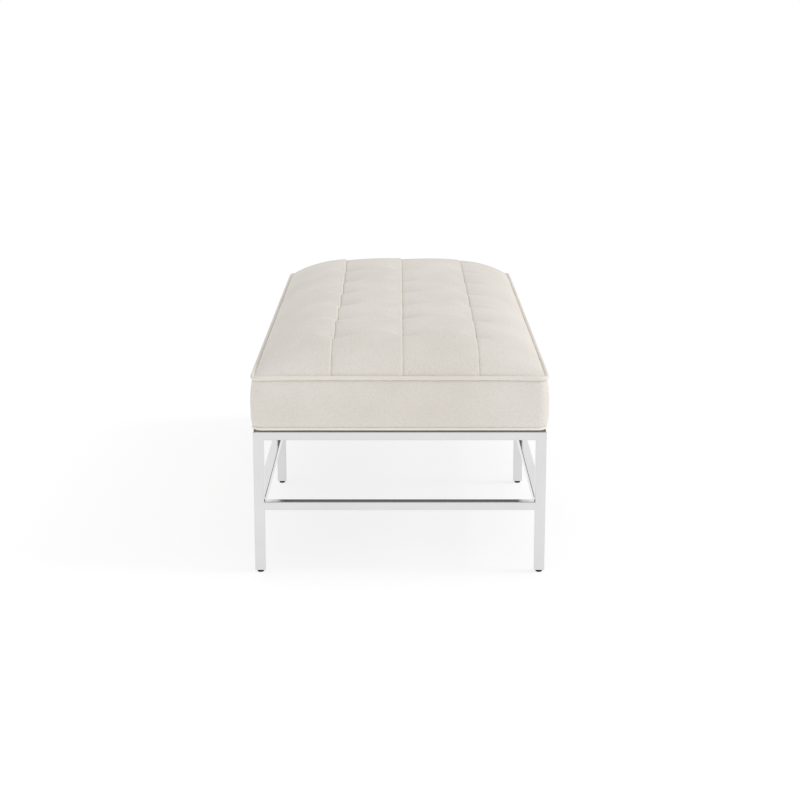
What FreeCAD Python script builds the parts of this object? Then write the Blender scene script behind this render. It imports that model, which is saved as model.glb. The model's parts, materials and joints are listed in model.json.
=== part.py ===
import FreeCAD, Part

# Ottoman bench: a tufted and welted leather seat on a welded square tube frame with six legs.
# Millimetres. X runs along the bench, Y across it, Z up; the origin is on the floor under its middle.
# Front is -Y, rear is +Y, left is -X and right is +X.

import math
import os
import re

import Sketcher
from FreeCAD import Placement, Rotation, Vector

# Driving sizes: name, value, meaning

SIZES = (
    ("frame_length", "1420", "outside length of the tube frame"),
    ("frame_width", "610", "outside width of the tube frame"),
    ("frame_height", "306", "top of the rails above the floor"),
    ("leg_size", "22", "side of the square leg tube"),
    ("rail_width", "22", "width of rails and stretchers"),
    ("rail_height", "18", "height of rails and stretchers"),
    ("tube_wall", "1.5", "wall of every tube"),
    ("tube_round", "2", "outer corner radius of every tube"),
    ("stretcher_top", "155", "top of the stretchers above the floor"),
    ("foot_height", "6", "underside of the legs above the floor, feet screwed in"),
    ("cap_height", "3", "thickness of the cap that closes a leg"),
    ("cap_spigot", "14", "height of the cap's spigot inside the leg"),
    ("foot_pad_diameter", "14", "diameter of a foot pad"),
    ("foot_pad_height", "3.6", "height of a foot pad"),
    ("foot_pad_bevel", "1", "bevel of the pad's lower edge"),
    ("socket_floor", "1.6", "floor of the pad's socket"),
    ("stem_diameter", "8", "thread of the levelling stem"),
    ("stem_length", "36", "top of the stem above the floor"),
    ("stem_clearance", "0.2", "free play round the stem"),
    ("collar_flats", "10", "width across the flats of the stem's collar"),
    ("foot_gap", "0.2", "gap round the collar and above it"),
    ("strip_height", "4", "black strip between a rail and the seat"),
    ("strip_width", "12", "width of that strip"),
    ("strip_inset", "2", "strip set in from the outer face of the rail"),
    ("hem_height", "1", "hem strip under the deck edge"),
    ("hem_width", "25", "width of the hem strip"),
    ("cover_height", "0.7", "dust cover"),
    ("deck_height", "18", "plywood deck"),
    ("deck_inset", "4.1", "deck and hem edge in from the seat outline"),
    ("tab_span", "860", "spacing of the two seat tabs along a rail"),
    ("tab_length", "32", "seat tab along the rail"),
    ("tab_depth", "30", "seat tab in from the rail"),
    ("tab_height", "3", "thickness of a seat tab"),
    ("bolt_reach", "17", "bolt in from the inner face of the rail"),
    ("bolt_diameter", "6", "seat bolt"),
    ("bolt_clearance", "0.3", "free play round the seat bolt"),
    ("bolt_flats", "10", "width across the flats of the bolt head"),
    ("bolt_head", "4.2", "height of the bolt head"),
    ("bolt_flange", "13", "flange under the bolt head"),
    ("flange_height", "1.6", "thickness of that flange"),
    ("spacer_side", "18", "rubber spacer between a tab and the seat"),
    ("insert_diameter", "9", "threaded insert in the deck"),
    ("insert_clearance", "0.1", "insert in its hole, bolt in the insert"),
    ("insert_cover", "2", "wood above the insert and the end of the bolt"),
    ("corner_radius", "20", "corner of the seat outline, in plan"),
    ("welt_height", "421", "middle of the top welt above the floor"),
    ("welt_diameter", "7.5", "top welt"),
    ("base_welt_diameter", "6.5", "bottom welt"),
    ("boxing_thickness", "2", "leather of the boxing band"),
    ("boxing_bulge", "5.6", "swell of the boxing band at mid height"),
    ("panel_thickness", "2", "leather of the top strips"),
    ("crown_rise", "64", "height of the seat's middle above the top welt, at a tuft"),
    ("panel_puff", "9", "swell of a strip between two tufts"),
    ("row_puff", "5", "swell of a strip in line with the tufts"),
    ("seam_lift", "5", "a seam half way between tufts, above the tufts"),
    ("foam_rise", "36", "crown of the foam core"),
    ("soft_clearance", "0.3", "gap between soft layers"),
    ("foam_edge", "3.2", "edge of the foam below the leather"),
    ("tie_diameter", "2.5", "tuft tie"),
    ("tie_hole", "5", "hole in the deck for a tie"),
    ("tie_washer", "16", "square washer under a tie, corner to corner"),
    ("tie_washer_height", "2", "thickness of that washer"),
    ("tie_recess", "4", "depth of the recess for washer and knot"),
    ("knot_diameter", "6", "knot under the washer"),
    ("knot_height", "1.6", "height of the knot"),
)

TUFT_ROWS = 7
SEAMS = 3

doc = FreeCAD.newDocument("ottoman_bench")
sheet = doc.addObject("Spreadsheet::Sheet", "dims")
for row, (name, value, meaning) in enumerate(SIZES, start=1):
    sheet.set(f"A{row}", name)
    sheet.set(f"B{row}", value)
    sheet.set(f"C{row}", meaning)
    sheet.setAlias(f"B{row}", name)
doc.recompute()
NAMES = {name for name, value, meaning in SIZES}


# Small helpers


def size(name):
    """The number now in the sheet."""
    return float(sheet.get(name))


def bind(target, prop, formula):
    """Bind one property to a formula written with the sheet's names."""

    def full_name(match):
        word = match.group(0)
        return "dims." + word if word in NAMES else word

    target.setExpression(prop, re.sub(r"[a-z_]+", full_name, formula))


def place(target, x="0", y="0", z="0", turn=0):
    """Set where an object stands: formulas for the position, a turn about Z in degrees."""
    target.Placement = Placement(Vector(0, 0, 0), Rotation(Vector(0, 0, 1), turn))
    for axis, formula in zip("xyz", (x, y, z)):
        bind(target, f"Placement.Base.{axis}", formula)


def origin(body, role):
    return next(item for item in body.Origin.OriginFeatures if item.Role == role)


def new_body(label):
    body = doc.addObject("PartDesign::Body", label)
    body.Label = label
    return body


def new_sketch(body, role, name):
    sketch = body.newObject("Sketcher::SketchObject", name)
    sketch.AttachmentSupport = [(origin(body, role), "")]
    sketch.MapMode = "FlatFace"
    return sketch


def add_line(sketch, start, end):
    return sketch.addGeometry(Part.LineSegment(Vector(*start, 0), Vector(*end, 0)))


def add_arc(sketch, centre, radius, start_deg, end_deg):
    circle = Part.Circle(Vector(*centre, 0), Vector(0, 0, 1), radius)
    return sketch.addGeometry(Part.ArcOfCircle(circle, math.radians(start_deg), math.radians(end_deg)))


def tie(sketch, *words):
    return sketch.addConstraint(Sketcher.Constraint(*words))


def measure(sketch, name, formula, *words):
    """A named dimension bound to the sheet."""
    index = tie(sketch, *words)
    sketch.renameConstraint(index, name)
    bind(sketch, f"Constraints.{name}", formula)


def rectangle(sketch, wide, tall, name):
    """A rectangle about the origin, its sides bound to two formulas."""
    corners = ((-5, -5), (5, -5), (5, 5), (-5, 5))
    lines = [add_line(sketch, corners[i], corners[(i + 1) % 4]) for i in range(4)]
    for i in range(4):
        tie(sketch, "Coincident", lines[i], 2, lines[(i + 1) % 4], 1)
    for i in range(4):
        tie(sketch, "Horizontal" if i % 2 == 0 else "Vertical", lines[i])
    tie(sketch, "Symmetric", lines[0], 1, lines[1], 2, -1, 1)
    measure(sketch, name + "_wide", wide, "DistanceX", lines[0], 1, lines[0], 2, 10.0)
    measure(sketch, name + "_tall", tall, "DistanceY", lines[1], 1, lines[1], 2, 10.0)


def outline(sketch, points):
    """A closed outline; each point is (x formula, y formula, x now, y now), '0' meaning on the axis."""
    count = len(points)
    lines = [add_line(sketch, points[i][2:], points[(i + 1) % count][2:]) for i in range(count)]
    for i in range(count):
        tie(sketch, "Coincident", lines[i], 2, lines[(i + 1) % count], 1)
        for word, axis, formula, now in (
            ("DistanceX", -2, points[i][0], points[i][2]),
            ("DistanceY", -1, points[i][1], points[i][3]),
        ):
            if formula == "0":
                tie(sketch, "PointOnObject", lines[i], 1, axis)
            else:
                measure(sketch, f"{word}_{i}", formula, word, -1, 1, lines[i], 1, now)


def pad(body, sketch, length, symmetric=False):
    feature = body.newObject("PartDesign::Pad", "Pad")
    feature.Profile = sketch
    if symmetric:
        feature.SideType = "Symmetric"
    bind(feature, "Length", length)
    return feature


def bore_through(body, sketch):
    feature = body.newObject("PartDesign::Pocket", "Bore")
    feature.Profile = sketch
    feature.SideType = "Symmetric"
    feature.Type = "ThroughAll"
    return feature


def round_edges(body, base, radius, chosen):
    """Round the edges of a feature for which chosen(edge) holds."""
    doc.recompute()
    names = [f"Edge{i}" for i, edge in enumerate(base.Shape.Edges, start=1) if chosen(edge)]
    feature = body.newObject("PartDesign::Fillet", "Round")
    feature.Base = (base, names)
    bind(feature, "Radius", radius)
    return feature


def primitive(body, kind, height, level, **sizes):
    """A PartDesign primitive standing on the level given above the body's XY plane."""
    feature = body.newObject("PartDesign::" + kind, kind)
    feature.AttachmentSupport = [(origin(body, "XY_Plane"), "")]
    feature.MapMode = "FlatFace"
    bind(feature, "AttachmentOffset.Base.z", level)
    bind(feature, "Height", height)
    for prop, formula in sizes.items():
        bind(feature, prop, formula)
    return feature


def repeat(body, axis, count, spacing):
    """Repeat the whole body along one axis; the first copy stays where it is."""
    doc.recompute()
    feature = body.newObject("PartDesign::LinearPattern", "Repeat")
    feature.TransformMode = "Whole shape"
    feature.Direction = (origin(body, axis), [""])
    feature.Mode = "Spacing"
    bind(feature, "Offset", spacing)
    feature.Occurrences = count
    body.Tip = feature
    return feature


def parallel(edge, axis):
    return abs(edge.tangentAt(edge.FirstParameter).dot(axis)) > 0.99


PARTS = []


def keep(*objects):
    PARTS.extend(objects)


# Tubes of the frame


def upright_tube(label, x, y):
    """A leg: standing tube between its end cap and the rails."""
    body = new_body(label)
    sketch = new_sketch(body, "XY_Plane", "Section")
    rectangle(sketch, "leg_size", "leg_size", "outer")
    rectangle(sketch, "leg_size - 2 * tube_wall", "leg_size - 2 * tube_wall", "inner")
    tube = pad(body, sketch, "frame_height - rail_height - foot_height - cap_height")
    doc.recompute()
    half = size("leg_size") / 2 - 0.01
    up = Vector(0, 0, 1)
    round_edges(body, tube, "tube_round", lambda e: parallel(e, up) and abs(e.CenterOfMass.x) > half)
    place(body, x, y, "foot_height + cap_height")
    keep(body)


def lying_tube(label, plane, axis, length, x, y, z):
    """A straight rail or stretcher with square ends, centred on its place."""
    body = new_body(label)
    sketch = new_sketch(body, plane, "Section")
    rectangle(sketch, "rail_width", "rail_height", "outer")
    rectangle(sketch, "rail_width - 2 * tube_wall", "rail_height - 2 * tube_wall", "inner")
    tube = pad(body, sketch, length, symmetric=True)
    half = size("rail_height") / 2 - 0.01
    round_edges(body, tube, "tube_round", lambda e: parallel(e, axis) and abs(e.CenterOfMass.z) > half)
    place(body, x, y, z)
    keep(body)


def mitred_rail(label, length, x, y, turn):
    """A rail of the top ring, mitred at both ends, its outer face towards +Y before the turn."""
    body = new_body(label)
    sketch = new_sketch(body, "XY_Plane", "Plan")
    half, wide = size("frame_length" if "length" in length else "frame_width") / 2, size("rail_width")
    outline(
        sketch,
        (
            (f"-{length} / 2", "rail_width / 2", -half, wide / 2),
            (f"-{length} / 2 + rail_width", "-rail_width / 2", wide - half, -wide / 2),
            (f"{length} / 2 - rail_width", "-rail_width / 2", half - wide, -wide / 2),
            (f"{length} / 2", "rail_width / 2", half, wide / 2),
        ),
    )
    bar = pad(body, sketch, "rail_height", symmetric=True)
    along = Vector(1, 0, 0)
    round_edges(body, bar, "tube_round", lambda e: parallel(e, along))
    section = new_sketch(body, "YZ_Plane", "Hollow")
    rectangle(section, "rail_width - 2 * tube_wall", "rail_height - 2 * tube_wall", "inner")
    bore_through(body, section)
    place(body, x, y, "frame_height - rail_height / 2", turn)
    keep(body)


SIDES = (("front", -1), ("rear", 1))
ENDS = (("left", -1), ("right", 1))
LEG_Y = "(frame_width - leg_size) / 2"
LEG_X = "(frame_length - leg_size) / 2"
LEGS = [
    (f"{side}_{end}", f"{ex} * {LEG_X}", f"{sy} * {LEG_Y}")
    for side, sy in SIDES
    for end, ex in (("left", -1), ("middle", 0), ("right", 1))
]
RAIL_Y = "(frame_width - rail_width) / 2"
RAIL_X = "(frame_length - rail_width) / 2"
RAIL_Z = "frame_height - rail_height / 2"
STRETCHER_Z = "stretcher_top - rail_height / 2"
X_AXIS, Y_AXIS, UP = Vector(1, 0, 0), Vector(0, 1, 0), Vector(0, 0, 1)

for label, x, y in LEGS:
    upright_tube("leg_" + label, x, y)

mitred_rail("rail_front", "frame_length", "0", "-" + RAIL_Y, 180)
mitred_rail("rail_rear", "frame_length", "0", RAIL_Y, 0)
mitred_rail("rail_left", "frame_width", "-" + RAIL_X, "0", 90)
mitred_rail("rail_right", "frame_width", RAIL_X, "0", -90)
CROSS_LENGTH = "frame_width - 2 * rail_width"
lying_tube("cross_rail_middle", "XZ_Plane", Y_AXIS, CROSS_LENGTH, "0", "0", RAIL_Z)

for end, ex in (("left", -1), ("middle", 0), ("right", 1)):
    BETWEEN_LEGS = "frame_width - 2 * leg_size"
    lying_tube("stretcher_" + end, "XZ_Plane", Y_AXIS, BETWEEN_LEGS, f"{ex} * {LEG_X}", "0", STRETCHER_Z)
for side, sy in SIDES:
    for end, ex in ENDS:
        lying_tube(
            f"stretcher_{side}_{end}",
            "YZ_Plane",
            X_AXIS,
            "frame_length / 2 - 1.5 * leg_size",
            f"{ex} * (frame_length - leg_size) / 4",
            f"{sy} * {LEG_Y}",
            STRETCHER_Z,
        )

# End caps of the legs: a flange flush with the tube, a spigot inside it, bored and tapped for the stem

caps = new_body("leg_end_caps")
flange = new_sketch(caps, "XY_Plane", "Flange")
rectangle(flange, "leg_size", "leg_size", "flange")
flange_pad = pad(caps, flange, "cap_height")
round_edges(caps, flange_pad, "tube_round", lambda e: parallel(e, UP))
spigot = primitive(caps, "AdditiveBox", "cap_spigot", "cap_height")
SPIGOT = "leg_size - 2 * tube_wall - stem_clearance"
for prop in ("Length", "Width"):
    bind(spigot, prop, SPIGOT)
for axis in "xy":
    bind(spigot, f"AttachmentOffset.Base.{axis}", f"-({SPIGOT}) / 2")
BORE = "stem_diameter / 2 + stem_clearance / 2"
primitive(caps, "SubtractiveCylinder", "cap_height + cap_spigot + 2", "-1", Radius=BORE)
repeat(caps, "X_Axis", 3, LEG_X)
repeat(caps, "Y_Axis", 2, "frame_width - leg_size")
place(caps, "-" + LEG_X, "-" + LEG_Y, "foot_height")
keep(caps)

# Levelling feet: a turned pad moulded round the hexagonal collar of a threaded stem


def hexagon(body, kind, flats, height, level):
    prism = primitive(body, kind, height, level, Circumradius=f"({flats}) / sqrt(3)")
    prism.Polygon = 6


def foot_pad(label, x, y):
    body = new_body(label)
    sketch = new_sketch(body, "XZ_Plane", "Profile")
    r, h, bevel = size("foot_pad_diameter") / 2, size("foot_pad_height"), size("foot_pad_bevel")
    outline(
        sketch,
        (
            ("0", "0", 0, 0),
            ("foot_pad_diameter / 2 - foot_pad_bevel", "0", r - bevel, 0),
            ("foot_pad_diameter / 2", "foot_pad_bevel", r, bevel),
            ("foot_pad_diameter / 2", "foot_pad_height", r, h),
            ("0", "foot_pad_height", 0, h),
        ),
    )
    turned = body.newObject("PartDesign::Revolution", "Turned")
    turned.Profile = sketch
    turned.ReferenceAxis = (sketch, ["V_Axis"])
    turned.Angle = 360
    hexagon(body, "SubtractivePrism", "collar_flats + foot_gap", "foot_pad_height", "socket_floor")
    place(body, x, y)
    keep(body)


def foot_stem(label, x, y):
    body = new_body(label)
    FOOT = "(socket_floor + foot_gap / 4)"
    COLLAR_TOP = "(foot_height - foot_gap)"
    hexagon(body, "AdditivePrism", "collar_flats", f"{COLLAR_TOP} - {FOOT}", FOOT)
    primitive(body, "AdditiveCylinder", f"stem_length - {COLLAR_TOP}", COLLAR_TOP, Radius="stem_diameter / 2")
    place(body, x, y)
    keep(body)


for label, x, y in LEGS:
    foot_pad("foot_pad_" + label, x, y)
    foot_stem("foot_stem_" + label, x, y)

# Black strips between rails and seat


def seat_strip(label, long_side, wide_side, x, y):
    body = new_body(label)
    sketch = new_sketch(body, "XY_Plane", "Plan")
    rectangle(sketch, long_side, wide_side, "strip")
    pad(body, sketch, "strip_height")
    place(body, x, y, "frame_height")
    keep(body)


STRIP_Y = "(frame_width / 2 - strip_inset - strip_width / 2)"
STRIP_X = "(frame_length / 2 - strip_inset - strip_width / 2)"
for side, sy in SIDES:
    STRIP_LENGTH = "frame_length - 2 * strip_inset"
    seat_strip(f"seat_strip_{side}", STRIP_LENGTH, "strip_width", "0", f"{sy} * {STRIP_Y}")
for end, ex in ENDS:
    seat_strip(
        f"seat_strip_{end}",
        "strip_width",
        "frame_width - 2 * strip_inset - 2 * strip_width",
        f"{ex} * {STRIP_X}",
        "0",
    )

# Seat fixings: tabs welded inside the long rails, spacers, flange bolts and threaded inserts, four of each

BOLT_X = "(tab_span / 2)"
BOLT_Y = "(frame_width / 2 - rail_width - bolt_reach)"
BOLT_PLAY = "bolt_diameter / 2 + bolt_clearance"
HEM_BOTTOM = "(frame_height + strip_height)"
DECK_BOTTOM = "(frame_height + strip_height + hem_height)"
TAB_BOTTOM = "(frame_height - tab_height)"


def four(body, level):
    """Two along each long side, the first copy at the front left."""
    repeat(body, "X_Axis", 2, "tab_span")
    repeat(body, "Y_Axis", 2, f"2 * {BOLT_Y}")
    place(body, "-" + BOLT_X, "-" + BOLT_Y, level)
    keep(body)


tabs = new_body("seat_tabs")
INNER_FACE = "(frame_width / 2 - rail_width)"
for near_edge in ("-" + INNER_FACE, f"{INNER_FACE} - tab_depth"):
    plate = primitive(tabs, "AdditiveBox", "tab_height", "0", Length="tab_length", Width="tab_depth")
    bind(plate, "AttachmentOffset.Base.x", f"-tab_length / 2 - {BOLT_X}")
    bind(plate, "AttachmentOffset.Base.y", near_edge)
for sign in (-1, 1):
    hole = primitive(tabs, "SubtractiveCylinder", "tab_height + 2", "-1", Radius=BOLT_PLAY)
    bind(hole, "AttachmentOffset.Base.x", "-" + BOLT_X)
    bind(hole, "AttachmentOffset.Base.y", f"{sign} * {BOLT_Y}")
repeat(tabs, "X_Axis", 2, "tab_span")
place(tabs, z=TAB_BOTTOM)
keep(tabs)

spacers = new_body("seat_spacers")
SPACER = "strip_height + hem_height - cover_height"
block = primitive(spacers, "AdditiveBox", SPACER, "0", Length="spacer_side", Width="spacer_side")
for axis in "xy":
    bind(block, f"AttachmentOffset.Base.{axis}", "-spacer_side / 2")
primitive(spacers, "SubtractiveCylinder", f"{SPACER} + 2", "-1", Radius=BOLT_PLAY)
four(spacers, "frame_height")

bolts = new_body("seat_bolts")
head = primitive(bolts, "AdditivePrism", "bolt_head", "0", Circumradius="bolt_flats / sqrt(3)")
head.Polygon = 6
primitive(bolts, "AdditiveCylinder", "flange_height", "bolt_head", Radius="bolt_flange / 2")
SHANK = "tab_height + strip_height + hem_height + deck_height - insert_cover"
primitive(bolts, "AdditiveCylinder", SHANK, "bolt_head + flange_height", Radius="bolt_diameter / 2")
four(bolts, f"{TAB_BOTTOM} - flange_height - bolt_head")

inserts = new_body("seat_inserts")
primitive(inserts, "AdditiveCylinder", "deck_height - insert_cover", "0", Radius="insert_diameter / 2")
THREAD = "bolt_diameter / 2 + insert_clearance / 2"
primitive(inserts, "SubtractiveCylinder", "deck_height + 2", "-1", Radius=THREAD)
four(inserts, DECK_BOTTOM)

# Deck of the seat, bored for the inserts and for the tuft ties

TUFT_PITCH_X = f"(frame_length / {TUFT_ROWS + 1})"
TUFT_PITCH_Y = f"(frame_width / {SEAMS + 1})"
FIRST_TUFT_X = f"-{(TUFT_ROWS - 1) / 2} * {TUFT_PITCH_X}"
FIRST_TUFT_Y = f"-{(SEAMS - 1) / 2} * {TUFT_PITCH_Y}"


def hole_grid(body, x, y, level, height, radius, rows, columns, dx, dy, sides=None):
    """A grid of holes, round or with flat sides: one hole and one pattern that runs both ways."""
    if sides:
        hole = primitive(body, "SubtractivePrism", height, level, Circumradius=radius)
        hole.Polygon = sides
    else:
        hole = primitive(body, "SubtractiveCylinder", height, level, Radius=radius)
    bind(hole, "AttachmentOffset.Base.x", x)
    bind(hole, "AttachmentOffset.Base.y", y)
    doc.recompute()
    grid = body.newObject("PartDesign::MultiTransform", "Grid")
    steps = []
    for axis, count, spacing in (("X_Axis", rows, dx), ("Y_Axis", columns, dy)):
        step = body.newObject("PartDesign::LinearPattern", "Step")
        step.Direction = (origin(body, axis), [""])
        step.Mode = "Spacing"
        bind(step, "Offset", spacing)
        step.Occurrences = count
        steps.append(step)
    grid.Originals = [hole]
    grid.Transformations = steps
    body.Tip = grid
    doc.recompute()


deck = new_body("seat_deck")
plan = new_sketch(deck, "XY_Plane", "Plan")
rectangle(plan, "frame_length - 2 * deck_inset", "frame_width - 2 * deck_inset", "deck")
board = pad(deck, plan, "deck_height")
round_edges(deck, board, "corner_radius - deck_inset", lambda e: parallel(e, UP))
BOLTS = ("-" + BOLT_X, "-" + BOLT_Y)
BOLT_STEPS = (2, 2, "tab_span", f"2 * {BOLT_Y}")
TUFTS = (FIRST_TUFT_X, FIRST_TUFT_Y)
TUFT_STEPS = (TUFT_ROWS, SEAMS, TUFT_PITCH_X, TUFT_PITCH_Y)
INSERT_HOLE = "insert_diameter / 2 + insert_clearance"
RECESS = "tie_washer / 2 + 2 * soft_clearance"
hole_grid(deck, *BOLTS, "-1", "deck_height - insert_cover + 1", INSERT_HOLE, *BOLT_STEPS)
hole_grid(deck, *TUFTS, "-1", "deck_height + 2", "tie_hole / 2", *TUFT_STEPS, sides=6)
hole_grid(deck, *TUFTS, "-1", "tie_recess + 1", RECESS, *TUFT_STEPS, sides=4)
place(deck, z=DECK_BOTTOM)
keep(deck)

# Hem strip under the edge of the deck, and the dust cover inside it

hem = new_body("hem_strip")
ring = new_sketch(hem, "XY_Plane", "Plan")
rectangle(ring, "frame_length - 2 * deck_inset", "frame_width - 2 * deck_inset", "outer")
rectangle(
    ring,
    "frame_length - 2 * deck_inset - 2 * hem_width",
    "frame_width - 2 * deck_inset - 2 * hem_width",
    "inner",
)
hem_pad = pad(hem, ring, "hem_height")
doc.recompute()
hem_edge = size("frame_length") / 2 - size("deck_inset") - size("hem_width") / 2
round_edges(
    hem,
    hem_pad,
    "corner_radius - deck_inset",
    lambda e: parallel(e, UP) and abs(e.CenterOfMass.x) > hem_edge,
)
place(hem, z=HEM_BOTTOM)
keep(hem)

cover = new_body("dust_cover")
plan = new_sketch(cover, "XY_Plane", "Plan")
COVER_EDGE = "2 * (deck_inset + hem_width + soft_clearance)"
rectangle(plan, f"frame_length - {COVER_EDGE}", f"frame_width - {COVER_EDGE}", "cover")
pad(cover, plan, "cover_height")
hole_grid(cover, *BOLTS, "-1", "cover_height + 2", BOLT_PLAY, *BOLT_STEPS)
place(cover, z=f"{DECK_BOTTOM} - cover_height")
keep(cover)

# Welts and boxing band, swept round the outline of the seat


def rounded_path(body, inset):
    """A closed outline of the seat: straight sides and four equal corner arcs."""
    sketch = new_sketch(body, "XY_Plane", "Path")
    a = size("frame_length") / 2 - inset
    b = size("frame_width") / 2 - inset
    r = size("corner_radius") - inset
    parts = []
    corners = ((1, -1), (1, 1), (-1, 1), (-1, -1))
    lines = (
        ((r - a, -b), (a - r, -b)),
        ((a, r - b), (a, b - r)),
        ((a - r, b), (r - a, b)),
        ((-a, b - r), (-a, r - b)),
    )
    for i, ((sx, sy), (start, end)) in enumerate(zip(corners, lines)):
        parts.append(add_line(sketch, start, end))
        parts.append(add_arc(sketch, (sx * (a - r), sy * (b - r)), r, 90 * i - 90, 90 * i))
    for i in range(8):
        tie(sketch, "Tangent", parts[i], 2, parts[(i + 1) % 8], 1)
    for i in range(4):
        tie(sketch, "Horizontal" if i % 2 == 0 else "Vertical", parts[2 * i])
    for i in (3, 5, 7):
        tie(sketch, "Equal", parts[1], parts[i])
    measure(sketch, "radius", f"corner_radius - {inset}", "Radius", parts[1], r)
    first, second, last = parts[1], parts[3], parts[7]
    ACROSS, ALONG = "frame_width - 2 * corner_radius", "frame_length - 2 * corner_radius"
    measure(sketch, "across", ACROSS, "DistanceY", first, 3, second, 3, 2 * (b - r))
    measure(sketch, "along", ALONG, "DistanceX", last, 3, first, 3, 2 * (a - r))
    tie(sketch, "Symmetric", parts[1], 3, parts[5], 3, -1, 1)
    return sketch


T = math.tan(math.pi / 8)
OCTAGON = ((-T, -1), (T, -1), (1, -T), (1, T), (T, 1), (-T, 1), (-1, T), (-1, -T))


def welt(label, inset, diameter, level, level_now):
    """A cord round the seat, its section an octagon drawn round the cord's circle."""
    body = new_body(label)
    path = rounded_path(body, inset)
    sketch = new_sketch(body, "YZ_Plane", "Section")
    y_now = inset - size("frame_width") / 2
    radius = size(diameter) / 2
    points = [
        (
            f"{inset} - frame_width / 2 + ({wide}) * {diameter} / 2",
            f"{level} + ({tall}) * {diameter} / 2",
            y_now + wide * radius,
            level_now + tall * radius,
        )
        for wide, tall in OCTAGON
    ]
    outline(sketch, points)
    sweep = body.newObject("PartDesign::AdditivePipe", "Sweep")
    sweep.Profile = sketch
    sweep.Spine = (path, [])
    place(body)
    keep(body)


BASE_WELT_INSET = 0.5
BASE_WELT_LIFT = 0.05
BASE_WELT = f"({HEM_BOTTOM} + base_welt_diameter / 2 + {BASE_WELT_LIFT})"
base_welt_now = size("frame_height") + size("strip_height") + size("base_welt_diameter") / 2 + BASE_WELT_LIFT
welt("welt_top", 0, "welt_diameter", "welt_height", size("welt_height"))
welt("welt_bottom", BASE_WELT_INSET, "base_welt_diameter", BASE_WELT, base_welt_now)


def boxing(label, turn):
    """Half of the boxing band: a bulged section swept round one end of the seat."""
    body = new_body(label)
    path = new_sketch(body, "XY_Plane", "Path")
    a, b, r = size("frame_length") / 2, size("frame_width") / 2, size("corner_radius")
    rear = add_line(path, (0, b), (r - a, b))
    rear_corner = add_arc(path, (r - a, b - r), r, 90, 180)
    end = add_line(path, (-a, b - r), (-a, r - b))
    front_corner = add_arc(path, (r - a, r - b), r, 180, 270)
    front = add_line(path, (r - a, -b), (0, -b))
    chain = (rear, rear_corner, end, front_corner, front)
    for first, second in zip(chain, chain[1:]):
        tie(path, "Tangent", first, 2, second, 1)
    tie(path, "Horizontal", rear)
    tie(path, "Vertical", end)
    tie(path, "Horizontal", front)
    tie(path, "Equal", rear_corner, front_corner)
    tie(path, "PointOnObject", rear, 1, -2)
    tie(path, "PointOnObject", front, 2, -2)
    measure(path, "radius", "corner_radius", "Radius", rear_corner, r)
    measure(path, "rear_side", "frame_width / 2", "DistanceY", -1, 1, rear, 1, b)
    measure(path, "front_side", "-frame_width / 2", "DistanceY", -1, 1, front, 2, -b)
    measure(path, "centre", "corner_radius - frame_length / 2", "DistanceX", -1, 1, rear_corner, 3, r - a)

    bottom = base_welt_now + size("base_welt_diameter") / 2 + size("soft_clearance")
    top = size("welt_height") - size("welt_diameter") / 2 - size("soft_clearance")
    swell, thick = size("boxing_bulge"), size("boxing_thickness")
    edge = b + thick / 2
    radius = ((top - bottom) ** 2 / 4 + swell**2) / (2 * swell)
    half_angle = math.degrees(math.asin((top - bottom) / 2 / radius))
    inner_angle = math.degrees(math.asin((top - bottom) / 2 / (radius - thick)))
    middle = (edge + swell - radius, (top + bottom) / 2)
    section = new_sketch(body, "YZ_Plane", "Section")
    outer_arc = add_arc(section, middle, radius, -half_angle, half_angle)
    inner_arc = add_arc(section, middle, radius - thick, -inner_angle, inner_angle)

    def end_of(angle, reach):
        turn = math.radians(angle)
        return (middle[0] + reach * math.cos(turn), middle[1] + reach * math.sin(turn))

    low = add_line(section, end_of(-inner_angle, radius - thick), end_of(-half_angle, radius))
    high = add_line(section, end_of(half_angle, radius), end_of(inner_angle, radius - thick))
    tie(section, "Coincident", low, 2, outer_arc, 1)
    tie(section, "Coincident", outer_arc, 2, high, 1)
    tie(section, "Coincident", high, 2, inner_arc, 2)
    tie(section, "Coincident", inner_arc, 1, low, 1)
    tie(section, "Coincident", outer_arc, 3, inner_arc, 3)
    tie(section, "Horizontal", low)
    tie(section, "Horizontal", high)
    tie(section, "Vertical", outer_arc, 1, outer_arc, 2)
    BOTTOM = f"({BASE_WELT} + base_welt_diameter / 2 + soft_clearance)"
    TOP = "(welt_height - welt_diameter / 2 - soft_clearance)"
    RADIUS = f"((({TOP} - {BOTTOM}) ^ 2 / 4 + boxing_bulge ^ 2) / (2 * boxing_bulge))"
    measure(section, "edge", "frame_width / 2 + boxing_thickness / 2", "DistanceX", -1, 1, outer_arc, 1, edge)
    measure(section, "low", BOTTOM, "DistanceY", -1, 1, outer_arc, 1, bottom)
    measure(section, "tall", f"{TOP} - {BOTTOM}", "DistanceY", outer_arc, 1, outer_arc, 2, top - bottom)
    measure(section, "outer_radius", RADIUS, "Radius", outer_arc, radius)
    measure(section, "inner_radius", f"{RADIUS} - boxing_thickness", "Radius", inner_arc, radius - thick)

    sweep = body.newObject("PartDesign::AdditivePipe", "Sweep")
    sweep.Profile = section
    sweep.Spine = (path, [])
    place(body, turn=turn)
    keep(body)


boxing("boxing_left", 0)
boxing("boxing_right", 180)

# Soft forms of the seat: crown, channels along the seams and tufts, lofted through arcs.
# Every section stands across the bench; its heights come from the functions below.

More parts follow.
